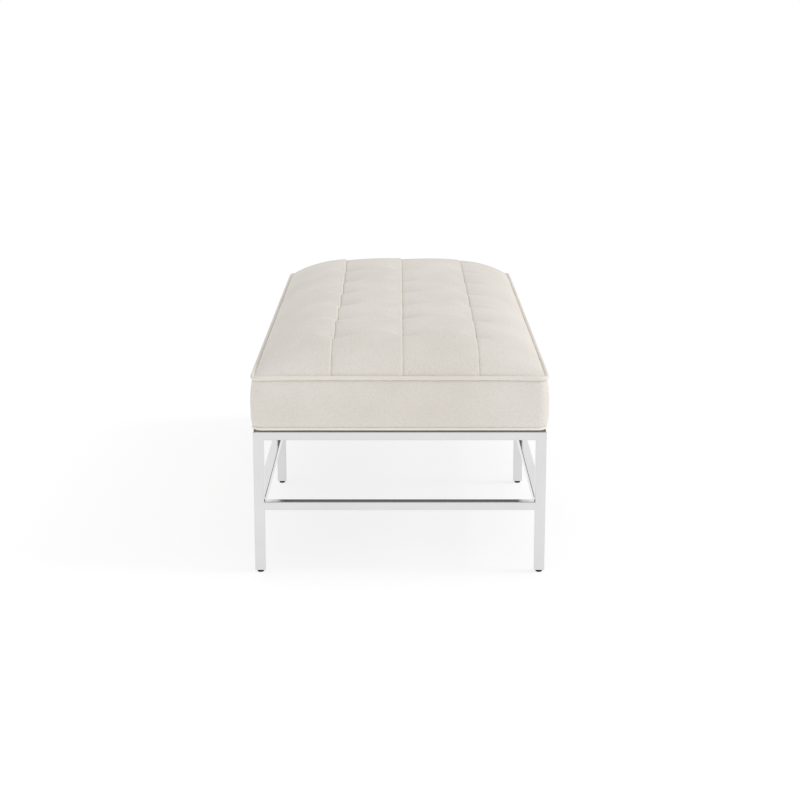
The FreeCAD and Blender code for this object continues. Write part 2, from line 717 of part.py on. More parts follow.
EDGE = size("welt_diameter") / 2 + size("soft_clearance")
HALF_TOP_X = size("frame_length") / 2 - EDGE
HALF_TOP_Y = size("frame_width") / 2 - EDGE
TOP_CORNER = size("corner_radius") - size("welt_diameter") / 2
PITCH_X = size("frame_length") / (TUFT_ROWS + 1)
PITCH_Y = size("frame_width") / (SEAMS + 1)
ROWS_X = [(k - (TUFT_ROWS - 1) / 2) * PITCH_X for k in range(TUFT_ROWS)]
SEAMS_Y = [(k - (SEAMS - 1) / 2) * PITCH_Y for k in range(SEAMS)]
END_STEPS = (0.0, 0.04, 0.13, 0.32, 0.62)
PLAIN_END_STEPS = (0.0, 0.13)
ROLL_POWER = 2.5
LEAST_CROWN = 0.06
OUTER_PUFF = 0.4
LEAST_PUFF = 0.4


def stations():
    """Where the sections stand along X: closer together where the ends roll over."""
    run = HALF_TOP_X - ROWS_X[-1]
    ends = [HALF_TOP_X - share * run for share in END_STEPS]
    steps = (TUFT_ROWS - 1) * 2
    inner = [ROWS_X[0] + i * (ROWS_X[-1] - ROWS_X[0]) / steps for i in range(steps + 1)]
    return [-x for x in ends] + inner + ends[::-1]


def plain_stations():
    """Fewer sections for the hidden layers, which run straight between the first and the last tufts."""
    run = HALF_TOP_X - ROWS_X[-1]
    ends = [HALF_TOP_X - share * run for share in PLAIN_END_STEPS]
    return [-x for x in ends] + [ROWS_X[0], ROWS_X[-1]] + ends[::-1]


def end_share(x):
    """Share of the crown reached at this distance from the end of the seat."""
    inward = min((HALF_TOP_X - abs(x)) / HALF_TOP_Y, 1.0)
    return max(LEAST_CROWN, math.sqrt(1 - (1 - inward) ** ROLL_POWER))


def side_share(y, half):
    return math.sqrt(max(0.0, 1 - min(abs(y) / half, 1.0) ** ROLL_POWER))


def tuft_share(x):
    """1 in line with a row of tufts, 0 half way between rows and beyond the last row."""
    nearest = min(abs(x - row) for row in ROWS_X)
    return math.cos(math.pi * min(nearest / PITCH_X, 0.5)) ** 2


def half_width(x, half, corner):
    """Half width of the rounded outline at this station."""
    inward = HALF_TOP_X - abs(x)
    if inward >= corner:
        return half
    return half - corner + math.sqrt(corner**2 - (corner - inward) ** 2)


def top_points(x):
    """The heights across one station: edge, strip middle, seam, strip middle ... edge."""
    half = half_width(x, HALF_TOP_Y, TOP_CORNER)
    ends = [-half] + SEAMS_Y + [half]
    along, pull = end_share(x), tuft_share(x)
    base = size("welt_height")
    points = []
    for i, y in enumerate(ends):
        lift = 0 if i in (0, len(ends) - 1) else size("seam_lift") * (1 - pull) * along
        points.append((y, base + size("crown_rise") * along * side_share(y, half) + lift))
        if i < len(ends) - 1:
            middle = (y + ends[i + 1]) / 2
            outer = i in (0, len(ends) - 2)
            puff = (size("panel_puff") * (1 - pull) + size("row_puff") * pull) * (OUTER_PUFF if outer else 1)
            height = size("crown_rise") * along * side_share(middle, half) + max(puff * along, LEAST_PUFF)
            points.append((middle, base + height))
    return points


def at(x, point, drop=0.0):
    return Vector(x, point[0], point[1] - drop)


def arc_through(a, b, c):
    return Part.Arc(a, b, c).toShape()


def straight(a, b):
    return Part.LineSegment(a, b).toShape()


def loft(sections):
    return Part.makeLoft([Part.Wire(edges) for edges in sections], True, True)


def top_strip(index):
    """One leather strip between two seams: the upper face and, a thickness lower, the inner face."""
    sections = []
    for x in stations():
        a, b, c = top_points(x)[2 * index : 2 * index + 3]
        drop = size("panel_thickness")
        sections.append(
            [
                arc_through(at(x, a), at(x, b), at(x, c)),
                straight(at(x, c), at(x, c, drop)),
                arc_through(at(x, c, drop), at(x, b, drop), at(x, a, drop)),
                straight(at(x, a, drop), at(x, a)),
            ]
        )
    return loft(sections)


def foam_top(x, half):
    """Edge, middle and edge of the foam's crown at one station."""
    low = size("welt_height") - size("panel_thickness") - size("foam_edge")
    high = low + size("foam_edge") / 2 + size("foam_rise") * end_share(x)
    return (-half, low), (0.0, high), (half, low)


def point_on(arc, x, y):
    """The point of an arc above one y."""
    circle = arc.Curve
    return Vector(x, y, circle.Center.z + math.sqrt(circle.Radius**2 - (y - circle.Center.y) ** 2))


def fill_channel(index):
    """Fibre fill of one strip, between the foam's crown and the leather, clear of the ties in the seams."""
    sections = []
    gap = size("soft_clearance")
    drop = size("panel_thickness") + gap
    clear = size("tie_diameter") / 2 + 2 * gap
    for x in plain_stations():
        points = top_points(x)
        start, middle, end = (at(x, p, drop) for p in points[2 * index : 2 * index + 3])
        low_start, crown, low_end = (at(x, p, -gap) for p in foam_top(x, points[-1][0]))
        upper = arc_through(start, middle, end)
        lower = arc_through(low_start, crown, low_end)
        if index > 0:
            y = start.y + clear
            start, low_start = point_on(upper, x, y), point_on(lower, x, y)
        if index < SEAMS:
            y = end.y - clear
            end, low_end = point_on(upper, x, y), point_on(lower, x, y)
        low_middle = point_on(lower, x, middle.y)
        sections.append(
            [
                arc_through(start, middle, end),
                straight(end, low_end),
                arc_through(low_end, low_middle, low_start),
                straight(low_start, start),
            ]
        )
    return loft(sections)


def foam_core():
    """Foam block: flat on the deck, sides swelling with the boxing band, crowned top."""
    sections = []
    bottom = size("frame_height") + size("strip_height") + size("hem_height") + size("deck_height")
    swell = size("boxing_bulge")
    for x in plain_stations():
        half = half_width(x, HALF_TOP_Y, TOP_CORNER)
        left, middle, right = (at(x, p) for p in foam_top(x, half))
        low_left, low_right = Vector(x, -half, bottom), Vector(x, half, bottom)
        mid_height = (bottom + left.z) / 2
        bulge = max(swell * min(end_share(x) * 1.5, 1.0), 0.5)
        edges = [
            straight(low_left, low_right),
            arc_through(low_right, Vector(x, half + bulge, mid_height), right),
            arc_through(right, middle, left),
            arc_through(left, Vector(x, -half - bulge, mid_height), low_left),
        ]
        sections.append(edges)
    return loft(sections)


def faceted_rod(radius, height, foot):
    """A hidden six-sided rod standing on a point."""
    turns = [math.radians(60 * i) for i in range(7)]
    rim = [foot + Vector(radius * math.cos(turn), radius * math.sin(turn), 0) for turn in turns]
    return Part.Face(Part.makePolygon(rim)).extrude(Vector(0, 0, height))


def tie_holes(low):
    """The shafts that the tuft ties run through."""
    radius = size("tie_diameter") / 2 + 2 * size("soft_clearance")
    height = size("welt_height") + 2 * size("crown_rise") - low
    return [faceted_rod(radius, height, Vector(x, y, low)) for x in ROWS_X for y in SEAMS_Y]


def shaped(label, shape):
    feature = doc.addObject("Part::Feature", label)
    feature.Label = label
    feature.Shape = shape
    keep(feature)


for index in range(SEAMS + 1):
    shaped(f"top_strip_{index + 1}", top_strip(index))
shaped("fill_layer", Part.makeCompound([fill_channel(index) for index in range(SEAMS + 1)]))
shaped("foam_core", foam_core().cut(tie_holes(size("frame_height"))))

# Tuft ties: a twine from each tuft down through the seat, knotted under a washer in the deck

deck_bottom = size("frame_height") + size("strip_height") + size("hem_height")
ties = []
for x in ROWS_X:
    points = top_points(x)
    for seam, y in enumerate(SEAMS_Y):
        top = points[2 * seam + 2][1] - size("panel_thickness") - size("soft_clearance") / 2
        low = Vector(x, y, deck_bottom + size("soft_clearance"))
        twine = faceted_rod(size("tie_diameter") / 2, top - low.z, low)
        knot = faceted_rod(size("knot_diameter") / 2, size("knot_height"), low)
        ties.append(twine.fuse(knot).removeSplitter())
shaped("tuft_ties", Part.makeCompound(ties))

tie_washers = new_body("tie_washers")
plate = primitive(tie_washers, "AdditivePrism", "tie_washer_height", "0", Circumradius="tie_washer / 2")
plate.Polygon = 4
TIE_PLAY = "tie_diameter / 2 + soft_clearance / 2"
eye = primitive(tie_washers, "SubtractivePrism", "tie_washer_height + 2", "-1", Circumradius=TIE_PLAY)
eye.Polygon = 6
repeat(tie_washers, "X_Axis", TUFT_ROWS, TUFT_PITCH_X)
repeat(tie_washers, "Y_Axis", SEAMS, TUFT_PITCH_Y)
place(tie_washers, FIRST_TUFT_X, FIRST_TUFT_Y, f"{DECK_BOTTOM} + tie_recess - tie_washer_height")
keep(tie_washers)

# Check everything, then write one file for each sub-part

doc.recompute()
for item in doc.Objects:
    if "Invalid" in item.State or "Error" in item.State:
        raise RuntimeError(f"{item.Label} did not recompute: {item.State}")
os.makedirs("parts", exist_ok=True)
for item in PARTS:
    shape = item.Shape
    if shape.isNull() or not shape.isValid() or not shape.Solids:
        raise RuntimeError(f"{item.Label} has no valid solid")
    shape.exportStep(os.path.join("parts", item.Label + ".step"))
    print(f"{item.Label}: {len(shape.Solids)} solid(s), {shape.Volume / 1000:.1f} cm3")
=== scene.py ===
# %% [markdown]
# # Dressing the ottoman bench
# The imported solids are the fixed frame: a welded square-tube base, six levelling feet and the plain
# forms of an upholstered seat. This lesson keeps the metalwork where it is, gives it real finishes,
# and sews a leather seat around the soft solids: four channelled strips, a boxing band, two welts, a
# hem and a stapled dust cover. Lengths are in millimetres until a mesh is made, and angles in degrees;
# only the camera, the floor and the depths of bumps are set out in metres.

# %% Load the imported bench
import json
import math

import bpy
import numpy as np
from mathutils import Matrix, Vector


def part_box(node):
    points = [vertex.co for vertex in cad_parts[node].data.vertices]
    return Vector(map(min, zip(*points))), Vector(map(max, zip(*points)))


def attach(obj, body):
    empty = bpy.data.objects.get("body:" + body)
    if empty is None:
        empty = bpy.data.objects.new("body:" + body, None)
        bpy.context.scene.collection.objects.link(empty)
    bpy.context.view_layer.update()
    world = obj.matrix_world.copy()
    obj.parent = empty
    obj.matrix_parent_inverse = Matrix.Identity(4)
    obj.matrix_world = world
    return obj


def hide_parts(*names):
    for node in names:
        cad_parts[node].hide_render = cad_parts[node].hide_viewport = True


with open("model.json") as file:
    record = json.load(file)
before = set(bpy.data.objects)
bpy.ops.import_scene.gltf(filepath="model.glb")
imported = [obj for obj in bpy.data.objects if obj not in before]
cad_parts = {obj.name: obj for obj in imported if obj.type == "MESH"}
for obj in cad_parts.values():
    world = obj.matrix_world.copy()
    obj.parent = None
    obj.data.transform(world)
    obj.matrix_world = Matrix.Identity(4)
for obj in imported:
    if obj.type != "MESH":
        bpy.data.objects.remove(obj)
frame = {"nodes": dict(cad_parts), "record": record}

scene = bpy.context.scene
nodes = frame["nodes"]
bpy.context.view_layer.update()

# %% [markdown]
# ## Camera
# The photograph was taken from beyond the right end of the bench, a little above the seat, with a
# long lens. A camera can be set by eye, but this one was fitted to the corners of the metal frame, so
# its place, pitch and lens are plain numbers here.

# %% Camera from the right end
CAMERA_PLACE, CAMERA_PITCH = (4.259, 0.0005, 1.188), 12.92
LENS, SENSOR = 79.4, 36.0
lens = bpy.data.cameras.new("camera")
lens.lens, lens.sensor_width = LENS, SENSOR
camera = bpy.data.objects.new("camera", lens)
camera.location = CAMERA_PLACE
camera.rotation_euler = (math.radians(90 - CAMERA_PITCH), 0, math.radians(90))
scene.collection.objects.link(camera)
scene.camera = camera

# %% [markdown]
# ## Small tools
# A colour is written as it would be picked on screen, so one function turns sRGB hex into the linear
# values that shaders use. Another feeds a node, each input with a value or a link, and one adds a node
# with its settings. Noise seldom leaves the middle of its range, so colours are set at two marks there.

# %% Colour and node helpers
NOISE_LOW, NOISE_HIGH = 0.3, 0.7


def colour(hex_code):
    """Linear RGBA of an sRGB hex colour."""
    parts = [int(hex_code[i : i + 2], 16) / 255 for i in (1, 3, 5)]
    return (*(p / 12.92 if p <= 0.04045 else ((p + 0.055) / 1.055) ** 2.4 for p in parts), 1.0)


def feed(tree, node, inputs):
    """Set a node's inputs to values, or link them from sockets."""
    for name, value in inputs.items():
        if isinstance(value, bpy.types.NodeSocket):
            tree.links.new(value, node.inputs[name])
        else:
            node.inputs[name].default_value = value


def add(tree, kind, inputs=None, stops=(), **settings):
    """Add a node; stops are the (position, hex) marks of a colour ramp."""
    node = tree.nodes.new(kind)
    for name, value in settings.items():
        setattr(node, name, value)
    feed(tree, node, inputs or {})
    for _ in stops[2:]:
        node.color_ramp.elements.new(0.5)
    for index, (position, hex_code) in enumerate(stops):
        node.color_ramp.elements[index].position = position
        node.color_ramp.elements[index].color = colour(hex_code)
    return node


def new_material(name):
    """A material with its tree, its shader and the piece's own coordinates."""
    material = bpy.data.materials.new(name)
    material.use_nodes = True
    tree = material.node_tree
    shader = tree.nodes["Principled BSDF"]
    place = add(tree, "ShaderNodeTexCoord").outputs["Object"]
    return material, tree, shader, place


def per_metre(size_mm):
    """Texture scale that gives a pattern of this size."""
    return 1000 / size_mm


print("helpers ready")

# %% [markdown]
# ## Floor and light
# The bench stands in a white studio: the walls are bright, the ceiling is dimmer, and one very broad
# light from the right draws the seams and tufts. Past the right end, where a photographer would stand,
# the studio is dark, and the polished tubes mirror it as black lines. Lamps and boards could do this,
# but a sky of a few nodes leaves nothing standing in the other views. The floor glows so that only a
# faint shadow is left: its glow and its pale paint add up to white, and where the bench keeps light
# off the paint, it falls to a very light grey.

# %% Walls, ceiling and dark end
CEILING, CEILING_STARTS, CEILING_FULL = 0.74, 0.2, 0.6
DARK_HEIGHT, DARK_CORE, DARK_RIM, DARK_DEPTH = 14, 7, 10, 0.95
scene.view_settings.view_transform = "Standard"
world = bpy.data.worlds.new("studio")
world.use_nodes = True
scene.world = world
tree = world.node_tree
looking = add(tree, "ShaderNodeTexCoord").outputs["Generated"]
upward = add(tree, "ShaderNodeSeparateXYZ", {"Vector": looking}).outputs["Z"]
dimming = add(
    tree,
    "ShaderNodeMapRange",
    {"Value": upward, "From Min": CEILING_STARTS, "From Max": CEILING_FULL, "To Min": 1.0, "To Max": CEILING},
)
dark_middle = (math.cos(math.radians(DARK_HEIGHT)), 0, math.sin(math.radians(DARK_HEIGHT)))
towards_dark = add(tree, "ShaderNodeVectorMath", {0: looking, 1: dark_middle}, operation="DOT_PRODUCT")
darkening = add(
    tree,
    "ShaderNodeMapRange",
    {
        "Value": towards_dark.outputs["Value"],
        "From Min": math.cos(math.radians(DARK_RIM)),
        "From Max": math.cos(math.radians(DARK_CORE)),
        "To Min": 1.0,
        "To Max": 1 - DARK_DEPTH,
    },
)
strength = add(
    tree,
    "ShaderNodeMath",
    {0: dimming.outputs["Result"], 1: darkening.outputs["Result"]},
    operation="MULTIPLY",
)
feed(tree, tree.nodes["Background"], {"Color": colour("#FFFFFF"), "Strength": strength.outputs["Value"]})
print("ceiling at", CEILING, "of the walls, dark end", 2 * DARK_RIM, "degrees across")

# %% Floor
# White matt paint that glows: no gloss, and only a breath of shadow under the bench
FLOOR_REACH, FLOOR_GLOW = 60.0, 0.75
floor_paint, tree, shader, place = new_material("white_studio_floor")
finish = {"Base Color": colour("#959595"), "Roughness": 1.0, "Specular IOR Level": 0.0}
glow = {"Emission Color": colour("#FFFFFF"), "Emission Strength": FLOOR_GLOW}
feed(tree, shader, finish | glow)
floor_mesh = bpy.data.meshes.new("floor")
floor_corners = [(x * FLOOR_REACH, y * FLOOR_REACH, 0) for x, y in ((-1, -1), (1, -1), (1, 1), (-1, 1))]
floor_mesh.from_pydata(floor_corners, [], [(0, 1, 2, 3)])
floor_mesh.materials.append(floor_paint)
floor = bpy.data.objects.new("floor", floor_mesh)
scene.collection.objects.link(floor)
print("floor reaches", FLOOR_REACH, "m each way")

# %% Key light
KEY_STRENGTH, KEY_TURN, KEY_HEIGHT, KEY_BREADTH, KEY_AWAY = 0.95, 90, 34, 28, 4


def key_light():
    """A broad light from the right of the bench."""
    turn, height = math.radians(KEY_TURN), math.radians(KEY_HEIGHT)
    towards = Vector((math.cos(turn) * math.cos(height), math.sin(turn) * math.cos(height), math.sin(height)))
    light = bpy.data.lights.new("key_light", "SUN")
    light.energy, light.angle = KEY_STRENGTH, math.radians(KEY_BREADTH)
    lamp = bpy.data.objects.new("key_light", light)
    lamp.location = KEY_AWAY * towards
    lamp.rotation_euler = (-towards).to_track_quat("-Z", "Y").to_euler()
    scene.collection.objects.link(lamp)


key_light()
print("key light", KEY_HEIGHT, "degrees up,", KEY_BREADTH, "degrees broad")

# %% [markdown]
# ## Finishes of the metalwork and fittings
# The base is polished stainless tube: a mirror softened by the polishing wheel. The foot pads are
# moulded nylon on blackened stems, the screws are zinc plated, the strips under the seat are black
# rubber and the deck is raw plywood. Plain colours would nearly do at this distance, but a little noise
# in tint and roughness keeps faces from looking printed and holds up in close views.

# %% Polished tube
# Stainless steel, ground and buffed: a clear mirror image with slightly soft edges, and no grain
WHEEL_DRIFT, BUFF_MARK = 90, 1.5
polished, tree, shader, place = new_material("polished_stainless_steel")
wipe = add(tree, "ShaderNodeTexNoise", {"Vector": place, "Scale": per_metre(WHEEL_DRIFT), "Detail": 3.0})
fine = add(tree, "ShaderNodeTexNoise", {"Vector": place, "Scale": per_metre(BUFF_MARK), "Detail": 2.0})
drift = {"Value": wipe.outputs["Fac"], "From Min": NOISE_LOW, "From Max": NOISE_HIGH}
rough = add(tree, "ShaderNodeMapRange", drift | {"To Min": 0.09, "To Max": 0.12})
steel = [(NOISE_LOW, "#DADADA"), (NOISE_HIGH, "#DEDEDE")]
tint = add(tree, "ShaderNodeValToRGB", {"Fac": wipe.outputs["Fac"]}, stops=steel)
bump = add(tree, "ShaderNodeBump", {"Height": fine.outputs["Fac"], "Strength": 0.01, "Distance": 0.0001})
feed(tree, shader, {"Base Color": tint.outputs["Color"], "Metallic": 1.0})
feed(tree, shader, {"Roughness": rough.outputs["Result"], "Normal": bump.outputs["Normal"]})
print(polished.name, "drifts over", WHEEL_DRIFT, "mm")

# %% Nylon of the foot pads
# Moulded, with a fine grit from the mould: nearly black, with hardly a highlight
GRIT = 0.6
nylon, tree, shader, place = new_material("black_moulded_nylon")
grit = add(tree, "ShaderNodeTexNoise", {"Vector": place, "Scale": per_metre(GRIT), "Detail": 3.0})
blacks = [(NOISE_LOW, "#030303"), (NOISE_HIGH, "#070707")]
tint = add(tree, "ShaderNodeValToRGB", {"Fac": grit.outputs["Fac"]}, stops=blacks)
bump = add(tree, "ShaderNodeBump", {"Height": grit.outputs["Fac"], "Strength": 0.2, "Distance": 0.0001})
feed(tree, shader, {"Base Color": tint.outputs["Color"], "Normal": bump.outputs["Normal"]})
feed(tree, shader, {"Roughness": 0.6, "Specular IOR Level": 0.1})
print(nylon.name, "has a grit of", GRIT, "mm")

# %% Zinc plating
# Bright zinc on bolts, inserts and washers: pale metal whose sheen changes from crystal to crystal
SPANGLE, ZINC_CLOUD = 2.5, 6
zinc, tree, shader, place = new_material("zinc_plated_steel")
spangle = add(tree, "ShaderNodeTexVoronoi", {"Vector": place, "Scale": per_metre(SPANGLE)})
clouds = add(tree, "ShaderNodeTexNoise", {"Vector": place, "Scale": per_metre(ZINC_CLOUD), "Detail": 4.0})
greys = [(NOISE_LOW, "#B4B6B8"), (NOISE_HIGH, "#CBCDCE")]
tint = add(tree, "ShaderNodeValToRGB", {"Fac": clouds.outputs["Fac"]}, stops=greys)
sheen = {"Value": spangle.outputs["Distance"], "To Min": 0.28, "To Max": 0.42}
rough = add(tree, "ShaderNodeMapRange", sheen)
feed(tree, shader, {"Base Color": tint.outputs["Color"], "Metallic": 1.0})
feed(tree, shader, {"Roughness": rough.outputs["Result"]})

# Blackened zinc on the stems of the feet: a dark, satin metal that hardly shows under the legs
STEM_CLOUD = 4
black_zinc, tree, shader, place = new_material("black_zinc_plated_steel")
clouds = add(tree, "ShaderNodeTexNoise", {"Vector": place, "Scale": per_metre(STEM_CLOUD), "Detail": 3.0})
blacks = [(NOISE_LOW, "#161616"), (NOISE_HIGH, "#232323")]
tint = add(tree, "ShaderNodeValToRGB", {"Fac": clouds.outputs["Fac"]}, stops=blacks)
feed(tree, shader, {"Base Color": tint.outputs["Color"], "Metallic": 1.0, "Roughness": 0.45})
print(zinc.name, "and", black_zinc.name, "ready")

# %% Rubber strips
# Cut rubber sheet: dead matt. It is drawn dark grey, as the thin line under the seat reads in the photograph;
# that line is mostly the shade of the gap between seat and rail, so the grey is partly painted shade
RUBBER_GRAIN = 1.2
rubber_and_gap_shade, tree, shader, place = new_material("rubber_strip_with_gap_shade")
grain = add(tree, "ShaderNodeTexNoise", {"Vector": place, "Scale": per_metre(RUBBER_GRAIN), "Detail": 4.0})
greys = [(NOISE_LOW, "#62615F"), (NOISE_HIGH, "#72716F")]
tint = add(tree, "ShaderNodeValToRGB", {"Fac": grain.outputs["Fac"]}, stops=greys)
bump = add(tree, "ShaderNodeBump", {"Height": grain.outputs["Fac"], "Strength": 0.3, "Distance": 0.0002})
feed(tree, shader, {"Base Color": tint.outputs["Color"], "Roughness": 0.85, "Normal": bump.outputs["Normal"]})
print(rubber_and_gap_shade.name, "grain", RUBBER_GRAIN, "mm")

# %% Plywood deck
# Raw birch, sanded: a pale figure drawn out along the board, fine across it and finest through the plies
FIGURE_LONG, FINER_ACROSS, FINER_THROUGH = 500 / 3, 14.0, 40.0
plywood, tree, shader, place = new_material("birch_plywood")
drawn_out = (1.0, FINER_ACROSS, FINER_THROUGH)
grain = add(tree, "ShaderNodeMapping", {"Vector": place, "Scale": drawn_out}).outputs["Vector"]
figure = add(tree, "ShaderNodeTexNoise", {"Vector": grain, "Scale": per_metre(FIGURE_LONG), "Detail": 6.0})
birch = [(0.3, "#B58F62"), (0.55, "#CDAA7D"), (0.75, "#D9BC94")]
tint = add(tree, "ShaderNodeValToRGB", {"Fac": figure.outputs["Fac"]}, stops=birch)
bump = add(tree, "ShaderNodeBump", {"Height": figure.outputs["Fac"], "Strength": 0.25, "Distance": 0.0004})
feed(tree, shader, {"Base Color": tint.outputs["Color"], "Roughness": 0.65, "Normal": bump.outputs["Normal"]})
print(plywood.name, "figure", round(FIGURE_LONG), "mm long")

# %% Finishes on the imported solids
FINISHES = {
    "polished_tube": polished,
    "foot_nylon": nylon,
    "zinc_steel": zinc,
    "black_strip": rubber_and_gap_shade,
    "plywood": plywood,
}
kept = 0
for part in frame["record"]["subparts"]:
    finish = black_zinc if part["node"].startswith("foot_stem") else FINISHES.get(part["material_slot"])
    if finish:
        nodes[part["node"]].data.materials.clear()
        nodes[part["node"]].data.materials.append(finish)
        kept += 1
print(kept, "solids keep their shape and get a finish")

# %% [markdown]
# ## Ground welds
# The tubes are butted and welded, and the welds are ground flush, so no joint shows on the faces. The
# tubes have rounded edges, which would leave a small notch at every butt. The tubes could be merged
# into one body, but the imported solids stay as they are: a short length of the butting tube's own
# outline, as long as that edge radius, fills each notch.

# %% Welds at every butt joint
EDGE_ROUND, ROUND_STEPS, SHARP_EDGE = 2.0, 5, 40
SIDES, PLACES = ("front", "rear"), ("left", "middle", "right")


def tube_outline(wide, tall):
    """Points round a tube with rounded edges."""
    points = []
    for k, (side, up) in enumerate(((1, 1), (-1, 1), (-1, -1), (1, -1))):
        for step in range(ROUND_STEPS + 1):
            turn = math.radians(90 * (k + step / ROUND_STEPS))
            a = side * (wide / 2 - EDGE_ROUND) + EDGE_ROUND * math.cos(turn)
            b = up * (tall / 2 - EDGE_ROUND) + EDGE_ROUND * math.sin(turn)
            points.append((a, b))
    return points


def weld(node, axis, direction):
    """Two rings of points that carry on a tube past one of its ends."""
    low, high = (1000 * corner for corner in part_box(node))
    middle, spans = (low + high) / 2, high - low
    across = [k for k in range(3) if k != axis]
    end = high[axis] if direction > 0 else low[axis]
    rings = []
    for place in (end, end + direction * EDGE_ROUND):
        for a, b in tube_outline(spans[across[0]], spans[across[1]]):
            point = list(middle)
            point[axis] = place
            point[across[0]] += a
            point[across[1]] += b
            rings.append(point)
    return rings


# Each joint: the butting tube, the axis it lies along, and which of its ends is welded
JOINTS = [(f"leg_{side}_{place}", 2, 1) for side in SIDES for place in PLACES]
for end in (-1, 1):
    JOINTS += [(f"stretcher_{place}", 1, end) for place in PLACES] + [("cross_rail_middle", 1, end)]
    JOINTS += [(f"stretcher_{side}_{place}", 0, end) for side in SIDES for place in ("left", "right")]
weld_points, weld_faces = [], []
for node, axis, direction in JOINTS:
    first, rings = len(weld_points), weld(node, axis, direction)
    count = len(rings) // 2
    weld_points += rings
    around = [(first + k, first + (k + 1) % count) for k in range(count)]
    faces = [(a, b, b + count, a + count) for a, b in around]
    faces += [tuple(a for a, b in reversed(around)), tuple(a + count for a, b in around)]
    outward = (direction > 0) == (axis != 1)
    weld_faces += faces if outward else [tuple(reversed(face)) for face in faces]
weld_mesh = bpy.data.meshes.new("ground_welds")
weld_mesh.from_pydata([tuple(v / 1000 for v in point) for point in weld_points], [], weld_faces)
weld_mesh.shade_smooth()
weld_mesh.set_sharp_from_angle(angle=math.radians(SHARP_EDGE))
weld_mesh.materials.append(polished)
welds = bpy.data.objects.new("ground_welds", weld_mesh)
scene.collection.objects.link(welds)
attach(welds, "bench")
print(len(JOINTS), "butt joints filled")

# %% [markdown]
# ## Leather
# The cover is a pebble-grained upholstery hide in a warm off-white: dyed through, lightly pigmented,
# semi-matt. A picture of leather could be wrapped round the seat, but pebbles made by the shader keep
# their size on every strip and never repeat. Two sizes of rounded cells make them, in rows that wander
# a little, and a broad drift keeps the colour from being one flat tone.

# %% Pebbled hide
# Real pebbles are about 2.5 mm across; they are drawn coarser so that they show at this distance
COVER_PEBBLE, WELT_PEBBLE = 4.6, 3.0
WANDER, BEND, TONE_DRIFT = 7, 2, 160
# The last weight is painted shade: how much darker the colour is drawn between the pebbles
SPECK, SPECK_WEIGHT, PEBBLE_PAINTED_SHADE = 0.45, 0.35, 0.35


def hide(name, light, dark, pebble, depth):
    """Leather: soft pebbles in relief with painted shade between them, finer specks between, and a broken,
    low sheen.
    """
    material, tree, shader, place = new_material(name)
    wander = add(tree, "ShaderNodeTexNoise", {"Vector": place, "Scale": per_metre(WANDER), "Detail": 2.0})
    shift = {0: wander.outputs["Color"], 1: (BEND / 1000, BEND / 1000, BEND / 1000)}
    bent = add(tree, "ShaderNodeVectorMath", shift, operation="MULTIPLY")
    moved = add(tree, "ShaderNodeVectorMath", {0: place, 1: bent.outputs["Vector"]}, operation="ADD")
    rows = moved.outputs["Vector"]
    pebbles = add(
        tree,
        "ShaderNodeTexVoronoi",
        {"Vector": rows, "Scale": per_metre(pebble), "Smoothness": 0.35},
        feature="SMOOTH_F1",
    )
    specks = add(tree, "ShaderNodeTexVoronoi", {"Vector": rows, "Scale": per_metre(pebble * SPECK)})
    both = {0: specks.outputs["Distance"], 1: SPECK_WEIGHT, 2: pebbles.outputs["Distance"]}
    cells = add(tree, "ShaderNodeMath", both, operation="MULTIPLY_ADD").outputs["Value"]
    lifted = add(tree, "ShaderNodeMath", {0: 1.0, 1: cells}, operation="SUBTRACT")
    bump = add(
        tree, "ShaderNodeBump", {"Height": lifted.outputs["Value"], "Strength": 0.55, "Distance": depth}
    )
    drift = add(tree, "ShaderNodeTexNoise", {"Vector": place, "Scale": per_metre(TONE_DRIFT), "Detail": 3.0})
    # Painted shade: the colour darkens away from each pebble's middle, where its relief lies in shade; the
    # broad drift is the hide's own tone
    mixed = {0: cells, 1: PEBBLE_PAINTED_SHADE, 2: drift.outputs["Fac"]}
    drift_and_pebble_shade = add(tree, "ShaderNodeMath", mixed, operation="MULTIPLY_ADD")
    dye_and_pebble_shade = [(0.35, light), (0.95, dark)]
    tint = add(tree, "ShaderNodeValToRGB", {"Fac": drift_and_pebble_shade.outputs["Value"]}, stops=dye_and_pebble_shade)
    rough = add(tree, "ShaderNodeMapRange", {"Value": cells, "To Min": 0.5, "To Max": 0.62})
    feed(tree, shader, {"Base Color": tint.outputs["Color"], "Normal": bump.outputs["Normal"]})
    feed(tree, shader, {"Roughness": rough.outputs["Result"], "Specular IOR Level": 0.35})
    return material


# The cover is the darkest; welts are stretched over a cord, so they are smoother, and are drawn a little
# paler
cover_hide = hide("pebbled_leather", "#E7E2DB", "#DCD6CD", COVER_PEBBLE, 0.0014)
welt_hide = hide("welt_leather", "#E9E4DC", "#E0DAD2", WELT_PEBBLE, 0.0004)
# Painted light: the base welt is drawn palest, for the light the floor throws on it from below
base_welt_painted_lit_hide = hide("base_welt_leather_painted_lit", "#F1EDE4", "#E9E4DB", WELT_PEBBLE, 0.0004)
print("leather: pebbles", COVER_PEBBLE, "mm on the cover,", WELT_PEBBLE, "mm on the welts")

# %% [markdown]
# ## Building meshes from rows of points
# The soft pieces follow rules, such as a crown or a swept section. Sculpting would lose the rule, so
# their points are worked out in rows with numpy and joined by four-sided faces.

# %% Mesh helpers


def band(rows, columns, closed_rows=False, closed_columns=False):
    """Faces between neighbouring points of a grid."""
    faces = []
    for i in range(rows if closed_rows else rows - 1):
        for j in range(columns if closed_columns else columns - 1):
            a, b = i * columns, (i + 1) % rows * columns
            k = (j + 1) % columns
            faces.append((a + j, b + j, b + k, a + k))
    return faces


